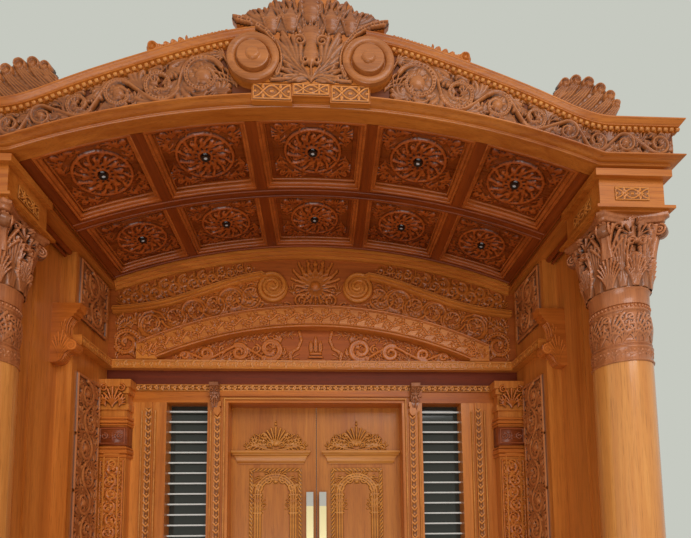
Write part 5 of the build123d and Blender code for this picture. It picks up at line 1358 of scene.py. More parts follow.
def vault_mouldings():
    """Stepped mouldings round the coffers, along the side beams and on the cross ribs."""
    parts = []
    bays = ((0.05, 0.485), (0.545, 1.000))
    spans = [(-0.245, 0.245), (-0.735, -0.295), (-1.2, -0.785), (0.295, 0.735), (0.785, 1.2)]
    for front, end in bays:
        for low, high in spans:
            for lift, inset, half in ((0.008, 0.006, 0.0085), (0.02, 0.017, 0.0125), (0.036, 0.027, 0.008)):
                xs = np.linspace(low + inset, high - inset, 7)
                path = [(x, block_face + front + inset, float(arch_line(x, lift))) for x in xs]
                path += [(x, block_face + end - inset, float(arch_line(x, lift))) for x in xs[::-1]]
                parts.append(rod(path, half, closed=True))
    make("coffer_mouldings", parts, coffer_edge, slot="vault_teak", sharp=50)
    near, far = block_face + 0.297, screen_face - 0.002
    parts = [rod([(side * x, near, z), (side * x, far, z)], half, 10) for side in (-1, 1) for x, z, half in
             ((1.262, 3.15, 0.014), (1.286, 3.136, 0.01), (1.33, 3.118, 0.016), (1.352, 3.1, 0.009),
              (1.24, 3.163, 0.006))]
    make("side_beam_mouldings", parts, vault_deep, sharp=50)
    xs = np.linspace(-1.24, 1.24, 60)
    parts = [rod([(x, block_face + depth, float(arch_line(x, -0.002))) for x in xs], 0.006)
             for depth in (0.494, 0.536, 1.009)]
    make("cross_rib_mouldings", parts, vault_across, slot="vault_teak", sharp=50)


# Swan necks with their eyes, arch band and the panel under it
SWAN_X = np.array([0.331, 0.472, 0.633, 0.793, 0.952, 1.11, 1.262])
SWAN_Z = np.array([3.246, 3.218, 3.159, 3.1, 3.047, 3.017, 3.004])
SWAN_THICK = 0.045
EYE_X, EYE_Z, EYE_RADIUS = 0.27, 3.141, 0.101
BAND_HALF, BAND_FOOT, BAND_TOP = 1.095, 2.76, 3.008
PANEL_HALF, PANEL_FOOT, PANEL_TOP = 0.971, 2.666, 2.868
BAND_RADIUS = ((BAND_TOP - BAND_FOOT)**2 + BAND_HALF**2) / (2 * (BAND_TOP - BAND_FOOT))
BAND_SPAN = 2 * np.arcsin(BAND_HALF / BAND_RADIUS) * BAND_RADIUS
BAND_PROUD = 0.058


def swan_line(x, lift=0.0):
    return np.interp(np.abs(x), SWAN_X, SWAN_Z) + lift


def round_height(x, half, foot, top):
    """Height at x of a circle through the top in the middle and the foot at the half width."""
    radius = ((top - foot)**2 + half**2) / (2 * (top - foot))
    return top - radius + np.sqrt(np.maximum(radius**2 - np.asarray(x)**2, 0.0))


def band_line(x):
    """Outer edge of the arch band."""
    return round_height(x, BAND_HALF, BAND_FOOT, BAND_TOP)


def panel_line(x):
    """Inner edge of the arch band, over the panel."""
    return round_height(x, PANEL_HALF, PANEL_FOOT, PANEL_TOP)


def eye_spiral(turns, inset, tighten, steps):
    """Points that wind in from the rim of the eye of the swan neck, each with its share of the way."""
    points = []
    for share in np.linspace(0.0, 1.0, steps):
        angle = radians(62) + 2 * pi * turns * share
        reach = (EYE_RADIUS - inset) * (1 - tighten * share)
        points.append((EYE_X + reach * cos(angle), EYE_Z + reach * sin(angle), share))
    return points


def swan_mouldings():
    """Swan-necked mouldings that end in volutes."""
    section = [
        (0.0, 0.004), (0.022, 0.004), (0.03, 0.001), (0.034, -0.004), (0.03, -0.009), (0.022, -0.011),
        (0.038, -0.014), (0.044, -0.019), (0.044, -0.024), (0.036, -0.028), (0.024, -0.03), (0.022, -0.033),
        (0.031, -0.036), (0.031, -0.041), (0.022, -0.045), (0.0, -0.045)]
    straight = 60
    neck = np.array([(x, float(swan_line(x))) for x in np.linspace(1.262, 0.34, straight)])
    for _ in range(30):
        neck[1:-1] = (neck[:-2] + 2 * neck[1:-1] + neck[2:]) / 4
    run = np.array([*neck] + [point[:2] for point in eye_spiral(1.35, 0.002, 0.62, 40)])
    rows = []
    last = len(run) - 1
    for i in range(last + 1):
        before, after = run[max(i - 1, 0)], run[min(i + 1, last)]
        way = (after - before) / max(np.linalg.norm(after - before), 1e-9)
        normal = np.array([way[1], -way[0]])
        wound = max(0, i - straight)
        shrink = max(0.45, 1.0 - wound / 60)
        grow = 1.0 + 0.2 * wound / 40
        rows.append([(run[i][0] + normal[0] * drop * shrink, screen_face - reach * grow,
                      run[i][1] + normal[1] * drop * shrink) for reach, drop in section])
    eye = volute(EYE_X, EYE_Z, EYE_RADIUS - 0.006, screen_face, -1.0, 0.028, 0.034, 60)
    spiral = [(x, screen_face - 0.032 - 0.012 * share, z) for x, z, share in eye_spiral(1.7, 0.012, 0.84, 64)]
    ridge = rod(spiral, 0.0112, 10, 0.0105, TO_VIEWER)
    make("swan_mouldings", both_sides(skin(rows), eye, ridge), teak_screen, replaced=["swan_scrolls"],
         sharp=40)


def lunette_scrollwork():
    """Scrollwork between the swan necks and the arch band, and above the swan necks."""
    work = Carving(0.0, 1.246, 2.66, 3.335, 0.0042)
    places = []
    for i, x in enumerate((1.02, 0.885, 0.76, 0.64, 0.525, 0.415)):
        low = float(band_line(x))
        high = float(swan_line(x, -SWAN_THICK))
        places.append((x, (low + high) / 2 + 0.004, min(0.45 * (high - low), 0.086), -1 if i % 2 else 1))
    work.running(places, 0.0095, 0.0165, buds=False, growth=0.95, arrival=200.0)
    for x, z, radius, hand in places:
        for side in (-1, 1):
            work.plume(x - 0.055, z + side * 0.55 * radius, 0.085, 90 * side + 35, -50 * side,
                       0.014, 5, 70, 0.0048)
    for x in np.arange(0.4, 1.13, 0.055):
        work.plume(x, float(band_line(min(x, BAND_HALF))), 0.062, 76, -50, 0.012, 4, 70, 0.0046)
        work.plume(x, float(swan_line(x, -SWAN_THICK)), 0.078, -104, -50, 0.013, 5, 74, 0.0046)
    for i, x in enumerate(np.arange(0.42, 1.2, 0.058)):
        foot = float(swan_line(x))
        size = float(arch_line(x, -0.062)) - foot
        if size > 0.02:
            hand = 1 if i % 2 else -1
            work.scroll(x, foot + (0.5 + 0.12 * hand) * size, 0.3 * size, 90 * hand, -hand, 0.085 * size,
                        0.0145, 1.25)
            work.plumes([(x + 0.018, foot + 0.06 * size, 0.95 * size, 40, 60),
                         (x - 0.006, foot + 0.92 * size, 0.9 * size, -60, -60)], 0.014, 5, 70, 0.045 * size)
    for angle, length in ((90, 0.158), (68, 0.165), (112, 0.165), (44, 0.175), (136, 0.175), (18, 0.16),
                          (162, 0.16)):
        work.plume(0.02 * cos(radians(angle)), 3.165, length, angle, (90 - angle) * 0.6, 0.019, 5, 64, 0.0092)
    for angle in (196, 232, 270, 308, 344):
        work.plume(0.0, 3.15, 0.125, angle, 0, 0.0165, 5, 60, 0.008)
    work.dome(0.0, 3.158, 0.032, 0.024)
    work.scroll(0.092, 3.06, 0.043, 120, -1, 0.01, 0.0165, 1.4)
    work.scroll(0.18, 3.02, 0.03, 60, 1, 0.008, 0.015, 1.3)
    work.plumes([(0.13, 3.015, 0.12, 150, -40), (0.205, 3.03, 0.12, 12, 40), (0.3, 3.035, 0.11, 20, 50),
                 (0.135, 3.1, 0.08, 60, 50), (0.05, 3.02, 0.1, 160, -60)], 0.014, 5, 66, 0.005)
    end_x, end_z = 1.176, 2.772
    work.scroll(end_x, end_z, 0.084, 150, -1, 0.0155, 0.018, 1.55, 0.8, reeded)
    for step in range(7):
        angle = 150 - 50 * step
        work.plume(*beside(end_x, end_z, 0.07, angle), 0.048, angle - 110, -40, 0.0165, 4, 60, 0.0042)
    work.plume(end_x, end_z, 0.045, 60, -60, 0.018, 5, 90, 0.0044)
    work.plumes([(1.235, 2.855, 0.095, 96, 50), (1.205, 2.868, 0.1, 120, -60),
                 (1.15, 2.868, 0.08, 60, 50), (1.225, 2.67, 0.07, 30, 60),
                 (1.12, 2.68, 0.06, 60, 50), (1.225, 2.93, 0.075, 110, -60)], 0.015, 5, 70, 0.0052)

    def inside(u, v):
        off_band = (v > band_line(np.minimum(u, BAND_HALF)) + 0.001) | (u > BAND_HALF + 0.001)
        off_swan = (v > swan_line(u) + 0.0005) | (v < swan_line(u, -SWAN_THICK - 0.0005)) | (u < 0.33)
        off_eye = np.hypot(u - EYE_X, v - EYE_Z) > EYE_RADIUS + 0.001
        return (v < arch_line(u, -0.061)) & off_band & off_swan & off_eye

    work.keep(inside)
    make("lunette_scrollwork", both_sides(work.parts(on_screen(screen_face))), teak_lunette,
         replaced=["lunette_carving"])


def on_band(u, v, h):
    """Surface of the arch band; u runs along its outer edge and v inwards from it."""
    x = BAND_RADIUS * np.sin(u / BAND_RADIUS)
    outer = band_line(x)
    inner_x = x * PANEL_HALF / BAND_HALF
    share = v / 0.133
    return points_of(x + (inner_x - x) * share, screen_face - BAND_PROUD - h,
                     outer + (panel_line(inner_x) - outer) * share)


def arch_band():
    """Running wave on the arch band, the leaves at its feet and its edge mouldings."""
    end = BAND_SPAN / 2
    wave = Carving(-end + 0.01, end - 0.01, 0.014, 0.118, 0.0046)
    count = 38
    middle = 0.064
    for i in range(count):
        u = (i + 0.5) / count * BAND_SPAN - end
        hand = 1 if i % 2 else -1
        reach = 0.5 * BAND_SPAN / count
        wave.stroke([(u - reach, middle - 0.016 * hand), (u, middle), (u + reach, middle + 0.016 * hand)],
                    0.0048, 0.0085)
        wave.scroll(u, middle + 0.018 * hand, 0.0175, 90 * hand, -hand, 0.005, 0.0095, 1.2)
        wave.plume(u + 0.014, middle - 0.004 * hand, 0.048, -62 * hand, 50 * hand, 0.0092, 4, 80, 0.004)
        wave.plume(u - 0.008, middle + 0.04 * hand, 0.03, 20 * hand, 50 * hand, 0.0085, 4, 80, 0.0036)
    for v in (0.012, 0.121):
        wave.stroke([(-end, v), (end, v)], 0.004, 0.006)
    edges = []
    for v, reach, half in ((0.004, 0.058, 0.007), (0.128, 0.06, 0.008), (0.112, 0.058, 0.004)):
        line = on_band(np.linspace(-end, end, 80), v, 0.0)
        line[:, 1] = screen_face - reach
        edges.append(rod(line, half, up=TO_VIEWER))
    block = Carving(0.955, BAND_HALF, 2.662, 2.8, 0.0036)
    block.plume(1.02, 2.672, 0.105, 112, 36, 0.01, 6, 80, 0.0052)
    block.plume(1.055, 2.672, 0.07, 80, 50, 0.0095, 5, 80, 0.0048)
    block.scroll(0.995, 2.7, 0.02, 90, 1, 0.0055, 0.0105)
    block.keep(lambda u, v: (v < band_line(np.minimum(u, BAND_HALF - 0.001)) - 0.012)
               & ((v > panel_line(np.minimum(u, PANEL_HALF - 0.001)) + 0.004) | (u > PANEL_HALF)))
    foot = block.parts(on_screen(screen_face - BAND_PROUD))
    make("arch_band_carving", [wave.parts(on_band), *both_sides(foot), *edges], teak_lunette, sharp=60)


def tympanum():
    """Scrollwork of the panel under the arch band."""
    panel = Carving(0.0, 0.955, shelf_top + 0.001, 2.866, 0.0042)
    row = [(0.815, 0.026, 1), (0.685, 0.04, -1), (0.478, 0.05, 1), (0.285, 0.07, -1)]
    places = [(x, shelf_top + 0.012 + radius, radius, hand) for x, radius, hand in row]
    panel.running(places, 0.0125, 0.0165, buds=False, growth=0.8, arrival=0.0)
    for x, lift, radius, hand in ((0.375, 0.085, 0.03, 1), (0.58, 0.075, 0.026, -1),
                                  (0.755, 0.03, 0.018, 1), (0.39, 0.02, 0.018, -1)):
        panel.scroll(x, shelf_top + lift, radius, 90, hand, 0.26 * radius, 0.0155, 1.3)
    for x in np.arange(0.17, 0.9, 0.048):
        panel.plume(x, shelf_top + 0.002, 0.05 + 0.04 * (1 - x), 118, 44, 0.013, 5, 70, 0.0046)
        panel.plume(x, float(panel_line(x)) - 0.002, 0.06, -110, -50, 0.012, 4, 74, 0.0044)
    panel.stroke([(0.105, 2.862), (0.09, 2.8), (0.112, 2.745), (0.165, 2.715), (0.155, 2.675)],
                 0.009, 0.016, reeded)
    for z, reach, half in ((2.668, 0.055, 0.009), (2.69, 0.04, 0.008), (2.712, 0.03, 0.01)):
        panel.stroke([(0.0, z), (reach, z)], half, 0.015)
    for x, high in ((0.0, 0.105), (0.03, 0.075)):
        panel.lobe(x, 2.716, 90, high, 0, 0.014, 0.015)
    panel.keep(lambda u, v: v < panel_line(u) - 0.001)
    make("tympanum_scrollwork", both_sides(panel.parts(on_screen(screen_face))), teak_lunette,
         replaced=["tympanum_carving"])


LEAF_MIDDLE = 0.261


def door_crest():
    """Spray of leaves over the panel of the right leaf."""
    middle = LEAF_MIDDLE
    crest = Carving(0.05, 0.505, 2.112, 2.322, 0.0027)
    crest.stroke([(0.075, 2.117), (0.447, 2.117)], 0.006, 0.012)
    for lean in (-1, 1):
        for place, length, angle, bend, ribs in (
                (0.02, 0.12, 62, 70, 5), (0.052, 0.105, 34, 84, 5), (0.1, 0.095, 20, -70, 5),
                (0.06, 0.125, 14, -66, 5), (0.128, 0.07, 40, -100, 4), (0.15, 0.062, 12, -40, 4),
                (0.03, 0.15, 50, 50, 5)):
            crest.plume(middle + lean * place, 2.132, length, 90 - lean * (90 - angle), -lean * bend,
                        0.0165, ribs, 54, 0.0046)
        crest.scroll(middle + lean * 0.168, 2.136, 0.021, 90 + lean * 60, -lean, 0.0052, 0.016, 1.3)
        crest.scroll(middle + lean * 0.072, 2.206, 0.022, 90 - lean * 70, lean, 0.0052, 0.017, 1.3)
        crest.scroll(middle + lean * 0.04, 2.15, 0.02, 90 + lean * 90, -lean, 0.0055, 0.0165, 1.2)
        crest.stroke([(middle + lean * reach, z) for reach, z in
                      ((0.012, 2.12), (0.075, 2.128), (0.13, 2.15), (0.186, 2.128))], 0.006, 0.014)
    for k in range(-3, 4):
        path = bent_path(middle + 0.006 * k, 2.158, 90 - 9 * k, 0.108 - 0.006 * abs(k), -9 * k, 8)
        crest.stroke(path, np.linspace(0.0045, 0.0088, 9), np.linspace(0.014, 0.0175, 9))
        crest.dome(*path[-1], 0.0098, 0.0178)
    for z, radius, high in ((2.16, 0.02, 0.0178), (2.288, 0.0085, 0.0175), (2.304, 0.006, 0.0165)):
        crest.dome(middle, z, radius, high)
    return crest.parts(on_screen(leaf_face))


def door_cornice():
    """Small cornice across the right leaf, under the spray."""
    profile = [(2.03, 0.01), (2.038, 0.01), (2.041, 0.014), (2.052, 0.0145), (2.064, 0.017),
               (2.076, 0.0215), (2.084, 0.025), (2.086, 0.029), (2.093, 0.029), (2.095, 0.032),
               (2.104, 0.034), (2.112, 0.034)]
    rings = []
    for z, reach in profile:
        inset = 0.06 * (1 - reach / 0.034)
        rings.append(ring(0.036 + inset, leaf_face, 0.542 - inset, leaf_face - reach, z))
    return skin(rings, shade=0.7)


def door_panel():
    """Roped frame of the right leaf and the arched panel on reeded posts in it."""
    middle = LEAF_MIDDLE
    panel = Carving(0.092, 0.43, 0.95, 2.004, 0.0031)
    inner, outer, low, high = 0.105, 0.417, 0.963, 1.991
    corners = [(inner, low), (inner, high), (outer, high), (outer, low), (inner, low)]
    panel.stroke(corners, 0.013, 0.006, np.ones_like)
    for (a, b), (c, d) in zip(corners[:-1], corners[1:]):
        count = int(round(hypot(c - a, d - b) / 0.0255))
        for k in range(count):
            share = (k + 0.5) / count
            x, z = a + (c - a) * share, b + (d - b) * share
            slant = (0.006, 0.0085) if a == c else (0.0085, -0.006)
            panel.stroke([(x - slant[0], z - slant[1]), (x + slant[0], z + slant[1])], 0.0058, 0.0138)
    spring, legs_low, outside, inside = 1.834, 0.984, 0.135, 0.091
    post = (outside + inside) / 2
    for reach, half, rise, section in (
            (post, 0.022, 0.0075, np.ones_like), (outside - 0.006, 0.0066, 0.0128, rounded),
            (inside + 0.006, 0.0066, 0.0128, rounded), (post, 0.0078, 0.0124, rounded)):
        arch = [(middle + reach * cos(t), spring + reach * sin(t)) for t in np.linspace(0, pi, 40)]
        path = [(middle + reach, legs_low)] + arch + [(middle - reach, legs_low)]
        panel.stroke(path, half, rise, section)
    for lean in (-1, 1):
        x = middle + lean * 0.113
        for z, length in ((1.722, 0.062), (1.76, 0.052)):
            for k in (-1, 0, 1):
                panel.plume(x + 0.016 * k, z, length, 90 - 10 * k, -26 * k, 0.0135, 4, 60, 0.0036)
        panel.scroll(x - 0.019, 1.814, 0.012, 90, 1, 0.0042, 0.0138, 1.1)
        panel.scroll(x + 0.019, 1.814, 0.012, 90, -1, 0.0042, 0.0138, 1.1)
        panel.stroke([(x - 0.026, 1.714), (x + 0.026, 1.714)], 0.006, 0.0125)
        panel.stroke([(x - 0.028, 1.832), (x + 0.028, 1.832)], 0.006, 0.0135)
        panel.scroll(middle + lean * 0.05, 1.926, 0.028, 90 - lean * 20, lean, 0.0068, 0.0139, 1.3)
        panel.scroll(middle + lean * 0.104, 1.872, 0.026, 90 - lean * 60, lean, 0.0064, 0.0139, 1.3)
        for reach, z, length, angle, bend, rise, spread, half in (
                (0.02, 1.936, 0.06, 30, 50, 0.0139, 60, 0.0048),
                (0.066, 1.936, 0.078, 84, 50, 0.0135, 58, 0.0044),
                (0.118, 1.905, 0.062, 130, 40, 0.0132, 58, 0.0042)):
            panel.plume(middle + lean * reach, z, length, 90 - lean * angle, -lean * bend,
                        rise, 5, spread, half)
    panel.plume(middle, 1.905, 0.07, 90, 0, 0.0138, 7, 92, 0.0048)
    panel.bud(middle, 1.915, 0.016, 0.0139)
    return panel.parts(on_screen(leaf_face))


def door_carvings():
    """Seal on the meeting edge and carved work of the door leaves."""
    seal = skin([ring(0.0003, 0.655, 0.0024, 0.6662, z) for z in (0.036, 2.406)])
    make_pair("leaf_seal", [seal], seal_black, door=True, smooth=False)
    parts = [door_crest(), door_cornice(), door_panel()]
    make_pair("leaf_carved", parts, door_carved, "leaf_carving", door=True, sharp=60)


def running_wave(work, low, high, middle, reach, height, pitch):
    """Row of linked waves with small leaves."""
    count = max(1, int(round((high - low) / pitch)))
    pitch = (high - low) / count
    for i in range(count):
        u = low + (i + 0.5) * pitch
        hand = 1 if i % 2 else -1
        work.scroll(u, middle, 0.78 * reach, 90 * hand, hand, 0.26 * reach, height, 1.2, 0.8)
        for du, dv, angle in ((0.4, -0.5, 60), (-0.4, 0.6, -120)):
            work.leaf(u + du * pitch, middle + hand * dv * reach, 0.9 * reach, angle * hand, 50 * hand,
                      0.85 * height, 3, 0.6)


def screen_strips():
    """Carved strips on the door head, mullions and jambs, and the fillets beside them."""
    face = screen_face - 0.01
    work = Carving(-1.114, 1.114, 2.469, 2.509, 0.0038)
    running_wave(work, -1.11, 1.11, 2.489, 0.015, 0.006, 0.037)
    work.rails(0.003, 0.003, 0.004)
    parts = [work.parts(on_screen(face))]
    for middle in (0.6065, 1.025):
        work = Carving(0.6, 2.36, -0.019, 0.019, 0.004)
        work.stroke([(0.6, 0.0), (2.36, 0.0)], 0.016, 0.0012, np.ones_like)
        for u in 0.62 + 1.72 * np.arange(40) / 39:
            for lean in (-1, 1):
                work.stroke(bent_path(u, lean * 0.002, lean * 34, 0.034, lean * 30, 5), 0.0058, 0.0085)
            work.dome(u + 0.02, 0.0, 0.005, 0.0075)
        work.rails(0.0025, 0.0034, 0.0065)
        parts += both_sides(work.parts(lambda u, v, h: points_of(middle + v, face - h, u)))
    make("screen_strips", parts, teak_edge)
    near, over, half = 0.566, 2.421, 0.0058
    fillets = [rod([(-near, face, 0.004), (-near, face, over), (near, face, over), (near, face, 0.004)], half,
                   up=TO_VIEWER)]
    for x in (0.648, 0.985, 1.066):
        fillets += both_sides(rod([(x, face, 0.91), (x, face, 2.344)], half, up=TO_VIEWER))
    make("screen_fillets", fillets, teak_bead, sharp=50)


def header_corbels():
    """Leafy corbels under the plain beam, at the ends of the door head."""
    face = screen_face - 0.01
    middle, half, foot = 0.6215, 0.028, 2.35
    profile = [(foot, 0.004), (2.356, 0.018), (2.372, 0.026), (2.392, 0.022), (2.42, 0.02), (2.45, 0.026),
               (2.47, 0.04), (2.484, 0.05), (2.488, 0.058), (2.508, 0.06), (2.512, 0.056)]
    rings = []
    for z, reach in profile:
        wide = min(half, 0.01 + 0.32 * (z - foot))
        rings.append(ring(middle - wide, face, middle + wide, face - reach, z))
    corbel = skin(rings, shade=0.5)
    leafy = Carving(middle - half + 0.002, middle + half - 0.002, 2.354, 2.484, 0.0026)
    for lane in (-1, 0, 1):
        leafy.plume(middle + 0.01 * lane, 2.478, 0.112 - 0.014 * abs(lane), -90 + 7 * lane, 20 * lane,
                    0.01, 5, 50, 0.004)
    for lean in (-1, 1):
        leafy.scroll(middle + lean * 0.016, 2.468, 0.0115, 90, -lean, 0.004, 0.013)
    leafy.keep(lambda u, v: np.abs(u - middle) < 0.008 + 0.32 * (v - foot))
    levels, reaches = zip(*profile)
    leaves = leafy.parts(lambda u, v, h: points_of(u, face - np.interp(v, levels, reaches) - h, v))
    make("header_corbels", both_sides(corbel, leaves), teak_carved_upright, sharp=50)


def shelf_edges():
    """Running waves on the front and the side edges of the shelf."""
    low, high, middle = 2.604, 2.652, 2.628
    front = Carving(-1.24, 1.24, low, high, 0.0048)
    running_wave(front, -1.236, 1.236, middle, 0.018, 0.0055, 0.052)
    front.rails(0.002, 0.004, 0.005)
    side = Carving(0.652, 1.026, low, high, 0.0048)
    running_wave(side, 0.654, 1.024, middle, 0.018, 0.0055, 0.052)
    side.rails(0.002, 0.004, 0.005)
    strip = side.parts(lambda u, v, h: points_of(1.245 - h, block_face + u, v))
    make("shelf_edge_carving", [front.parts(on_screen(screen_face - 0.045)), *both_sides(strip)], teak_edge)


def vertical_foliage(work, left, right, low, high, relief):
    """Leafy stem winding up a narrow panel."""
    wide = right - left
    middle = (left + right) / 2
    count = max(2, int(round((high - low) / (0.66 * wide))))
    pitch = (high - low) / count
    radius = min(0.33 * wide, 0.47 * pitch)
    spots = []
    for i in range(count):
        hand = 1 if i % 2 else -1
        spots.append((middle + 0.09 * wide * hand, high - (i + 0.5) * pitch, radius, hand))
    work.running(spots, 0.14 * radius + 0.002, relief, growth=1.0, arrival=90.0)
    for _, v, _, hand in spots:
        side = -hand
        for lift, length, angle in ((0.48, 0.42, 60), (0.0, 0.34, 20), (-0.4, 0.4, -50)):
            work.plume(middle + side * 0.22 * wide, v + lift * pitch, length * wide,
                       angle if side > 0 else 180 - angle, side * 60, 0.95 * relief, 5, 66, 0.036 * wide)


def pier_panels():
    """Carved panels on the inner faces of the piers."""
    inner, thick = 1.29, 0.0062
    parts = []
    for front, end, low, high in ((0.68, 1.02, 2.765, 3.112), (0.69, 0.966, 0.9, 2.47)):
        work = Carving(front, end, low, high, 0.005)
        work.border(0.01, 0.009, 0.013)
        vertical_foliage(work, front + 0.018, end - 0.018, low + 0.018, high - 0.018, 0.0145)
        carved = work.parts(lambda u, v, h: points_of(inner - thick - h, block_face + u, v))
        corners = [(front, low), (end, low), (end, high), (front, high)]
        board = skin([[(x, block_face + depth, z) for depth, z in corners] for x in (inner, inner - thick)],
                     shade=0.42)
        parts += both_sides(carved, board)
    make("pier_panels_carved", parts, teak_panel, replaced=["pier_carvings"], sharp=60)


def brackets():
    """Scrolled brackets at the front of the piers, with a moulded cap and a leaf on the face."""
    front, back, root = 0.0, 0.071, 1.37
    profile = [(2.48, 0.02), (2.486, 0.04), (2.5, 0.058), (2.516, 0.066), (2.53, 0.07), (2.545, 0.088),
               (2.56, 0.108), (2.58, 0.116), (2.6, 0.108), (2.615, 0.088), (2.64, 0.074), (2.68, 0.076),
               (2.71, 0.088), (2.728, 0.1), (2.73, 0.112), (2.742, 0.114), (2.745, 0.124), (2.762, 0.128),
               (2.766, 0.14), (2.796, 0.146), (2.8, 0.15)]
    levels, reaches = zip(*profile)
    parts = [skin([ring(root, back, root - reach, front, z) for z, reach in profile], shade=0.62)]
    curl_x, curl_z = root - 0.104, 2.572
    turn = circle(20)
    roll_x, roll_z = curl_x + 0.031 * np.cos(turn), curl_z + 0.031 * np.sin(turn)
    parts.append(skin([points_of(roll_x, y, roll_z) for y in (front - 0.001, back)],
                      shade=0.62))
    work = Carving(root - 0.14, root - 0.002, 2.486, 2.728, 0.0032)
    work.scroll(curl_x, curl_z, 0.026, 90, 1, 0.0065, 0.0015, 1.6)
    work.plume(root - 0.045, 2.5, 0.15, 92, 8, 0.0015, 7, 40, 0.0062)
    work.plume(root - 0.06, 2.64, 0.08, 100, 30, 0.0015, 5, 50, 0.0052)
    work.keep(lambda u, v: (u > root - np.interp(v, levels, reaches) + 0.003)
              | (np.hypot(u - curl_x, v - curl_z) < 0.03))
    parts.append(work.parts(on_screen(front), sink=0.0004, floor=0.0002))
    edge = Carving(front + 0.004, back - 0.003, 2.488, 2.724, 0.0036)
    middle = (front + back) / 2
    for lane in (-2, -1, 0, 1, 2):
        edge.stroke([(middle + 0.011 * lane, 2.49), (middle + 0.013 * lane, 2.722)], 0.0052, 0.005)
    edge = edge.parts(lambda u, v, h: points_of(root - np.interp(v, levels, reaches) - h, u, v))
    parts.append(edge)
    make("pier_brackets", both_sides(*parts), teak_lunette, replaced=["consoles"], sharp=45)


def pilasters():
    """Carved shafts and heads of the pilasters and the mouldings between them."""
    face = screen_face - 0.075
    low_x, high_x = 1.136, 1.284
    work = Carving(low_x, high_x, 0.94, 2.03, 0.0042)
    work.border(0.008, 0.0065, 0.008)
    vertical_foliage(work, low_x + 0.016, high_x - 0.016, 0.958, 2.012, 0.0125)
    parts = [work.parts(on_screen(face))]
    for z, half, reach in ((2.052, 0.01, 0.013), (2.078, 0.014, 0.019), (2.1, 0.006, 0.01),
                           (2.24, 0.006, 0.01), (2.258, 0.01, 0.017), (2.282, 0.008, 0.012)):
        rows = []
        for lift, swell in ((-1, 0.3), (-0.7, 0.85), (0.0, 1.0), (0.7, 0.85), (1, 0.3)):
            level, r = z + lift * half, swell * reach
            rows.append([(1.12 - 0.4 * r, screen_face, level), (1.29, screen_face, level),
                         (1.29, face - r, level), (1.13 - 0.6 * r, face - r, level)])
        parts.append(skin(rows, shade=0.66))
    middle = 1.21
    head = Carving(1.132, 1.288, 2.34, 2.505, 0.0036)
    head.plume(middle, 2.345, 0.12, 90, 0, 0.01, 7, 70, 0.0066)
    for lean in (-1, 1):
        head.scroll(middle + lean * 0.05, 2.462, 0.022, 90, -lean, 0.006, 0.01, 1.4)
        head.plume(middle + lean * 0.04, 2.35, 0.08, 90 - lean * 18, -lean * 40, 0.009, 5, 60, 0.005)
    parts.append(head.parts(on_screen(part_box("pilasters")[0].y)))
    make("pilaster_carvings", both_sides(*parts), teak_lunette, sharp=50)


def pilaster_blocks():
    """Reddish blocks with a flower, between the mouldings of the pilasters."""
    face = screen_face - 0.075
    solid = skin([ring(1.123, screen_face, 1.29, face - reach, z) for z, reach in
                  ((2.112, 0.006), (2.118, 0.014), (2.222, 0.014), (2.228, 0.006))], shade=0.6)
    work = Carving(1.13, 1.284, 2.12, 2.22, 0.004)
    work.border(0.006, 0.005, 0.007)
    work.flower(1.207, 2.17, 0.026, 0.008)
    for lean in (-1, 1):
        work.scroll(1.207 + lean * 0.046, 2.17, 0.02, 90, lean, 0.0055, 0.008, 1.3)
    make("pilaster_blocks", both_sides(solid, work.parts(on_screen(face - 0.014))), block_red, smooth=False)


def lamp(name, place, target, size, power):
    """Soft square lamp aimed at a point."""
    light = bpy.data.lights.new(name, "AREA")
    light.size = size
    light.energy = power
    holder = bpy.data.objects.new(name, light)
    holder.location = place
    holder.rotation_euler = (Vector(target) - Vector(place)).to_track_quat("-Z", "Y").to_euler()
    bpy.context.scene.collection.objects.link(holder)


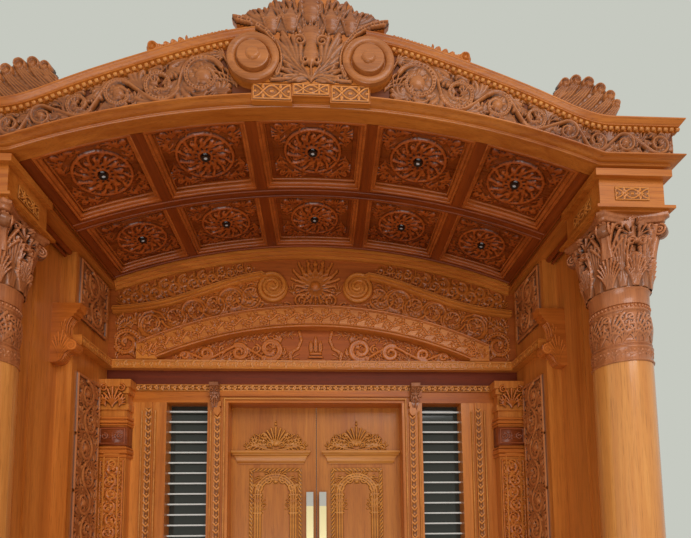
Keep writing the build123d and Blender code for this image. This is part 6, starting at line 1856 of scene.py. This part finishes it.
def surroundings():
    """Pale floor, even sky and two soft lamps."""
    mesh = bpy.data.meshes.new("floor")
    half = 14.0
    mesh.from_pydata(ring(-half, -half, half, half, 0), [], [(0, 1, 2, 3)])
    floor = bpy.data.objects.new("floor", mesh)
    bpy.context.scene.collection.objects.link(floor)
    mesh.materials.append(plain("pale_floor", srgb(205, 203, 196), 0.6))
    sky = Finish("sky", bpy.data.worlds)
    bpy.context.scene.world = sky.owner
    lighting = sky.tree.nodes["Background"]
    sky.put(lighting.inputs["Color"], (1.0, 0.95, 0.86, 1.0))
    sky.put(lighting.inputs["Strength"], 0.72)
    backdrop = sky.node("ShaderNodeBackground", None, {"Color": srgb(198, 201, 192)})
    seen, glossy, through = (sky.node("ShaderNodeLightPath", output="Is " + ray + " Ray")
                             for ray in ("Camera", "Glossy", "Transmission"))
    seen = seen.math("MAXIMUM", seen, glossy)
    seen = seen.math("MAXIMUM", seen, through)
    chosen = sky.node("ShaderNodeMixShader", None, {0: seen, 1: Value(sky, lighting.outputs[0]), 2: backdrop})
    sky.put(sky.tree.nodes["World Output"].inputs["Surface"], chosen)
    lamp("sky_lamp", (2.0, -6.0, 5.6), (0.0, 0.0, 2.8), 3.4, 150.0)
    lamp("step_lamp", (-0.4, -3.8, 0.3), (0.0, 0.3, 3.2), 2.2, 62.0)


# Eye of the picture
EYE = Vector((0.0414, -2.5706, 1.585))
LENS = 25.92
TURN, RISE, ROLL = radians(2.618), radians(5.369), radians(-0.517)
SHIFT = 0.314


def camera():
    """Camera at the eye, with the rising front that the picture has."""
    data = bpy.data.cameras.new("eye")
    data.lens = LENS
    data.sensor_width = 36.0
    data.shift_y = SHIFT
    data.clip_start = 0.05
    eye = bpy.data.objects.new("eye", data)
    ahead = Vector((sin(TURN) * cos(RISE), cos(TURN) * cos(RISE), sin(RISE)))
    level = Vector((cos(TURN), -sin(TURN), 0.0))
    up = level.cross(ahead)
    across = cos(ROLL) * level + sin(ROLL) * up
    above = across.cross(ahead)
    aim = Matrix((across, above, -ahead)).transposed()
    eye.matrix_world = Matrix.Translation(EYE) @ aim.to_4x4()
    bpy.context.scene.collection.objects.link(eye)
    bpy.context.scene.camera = eye


frieze_carvings()
frieze_ends()
cornices()
architrave()
crest()
keystone_flowers()
fans()
columns()
impost_flowers()
coffers()
vault_mouldings()
swan_mouldings()
lunette_scrollwork()
arch_band()
tympanum()
screen_strips()
header_corbels()
shelf_edges()
pier_panels()
brackets()
pilasters()
pilaster_blocks()
door_carvings()
surroundings()
camera()
bpy.context.scene.view_settings.view_transform = "Standard"
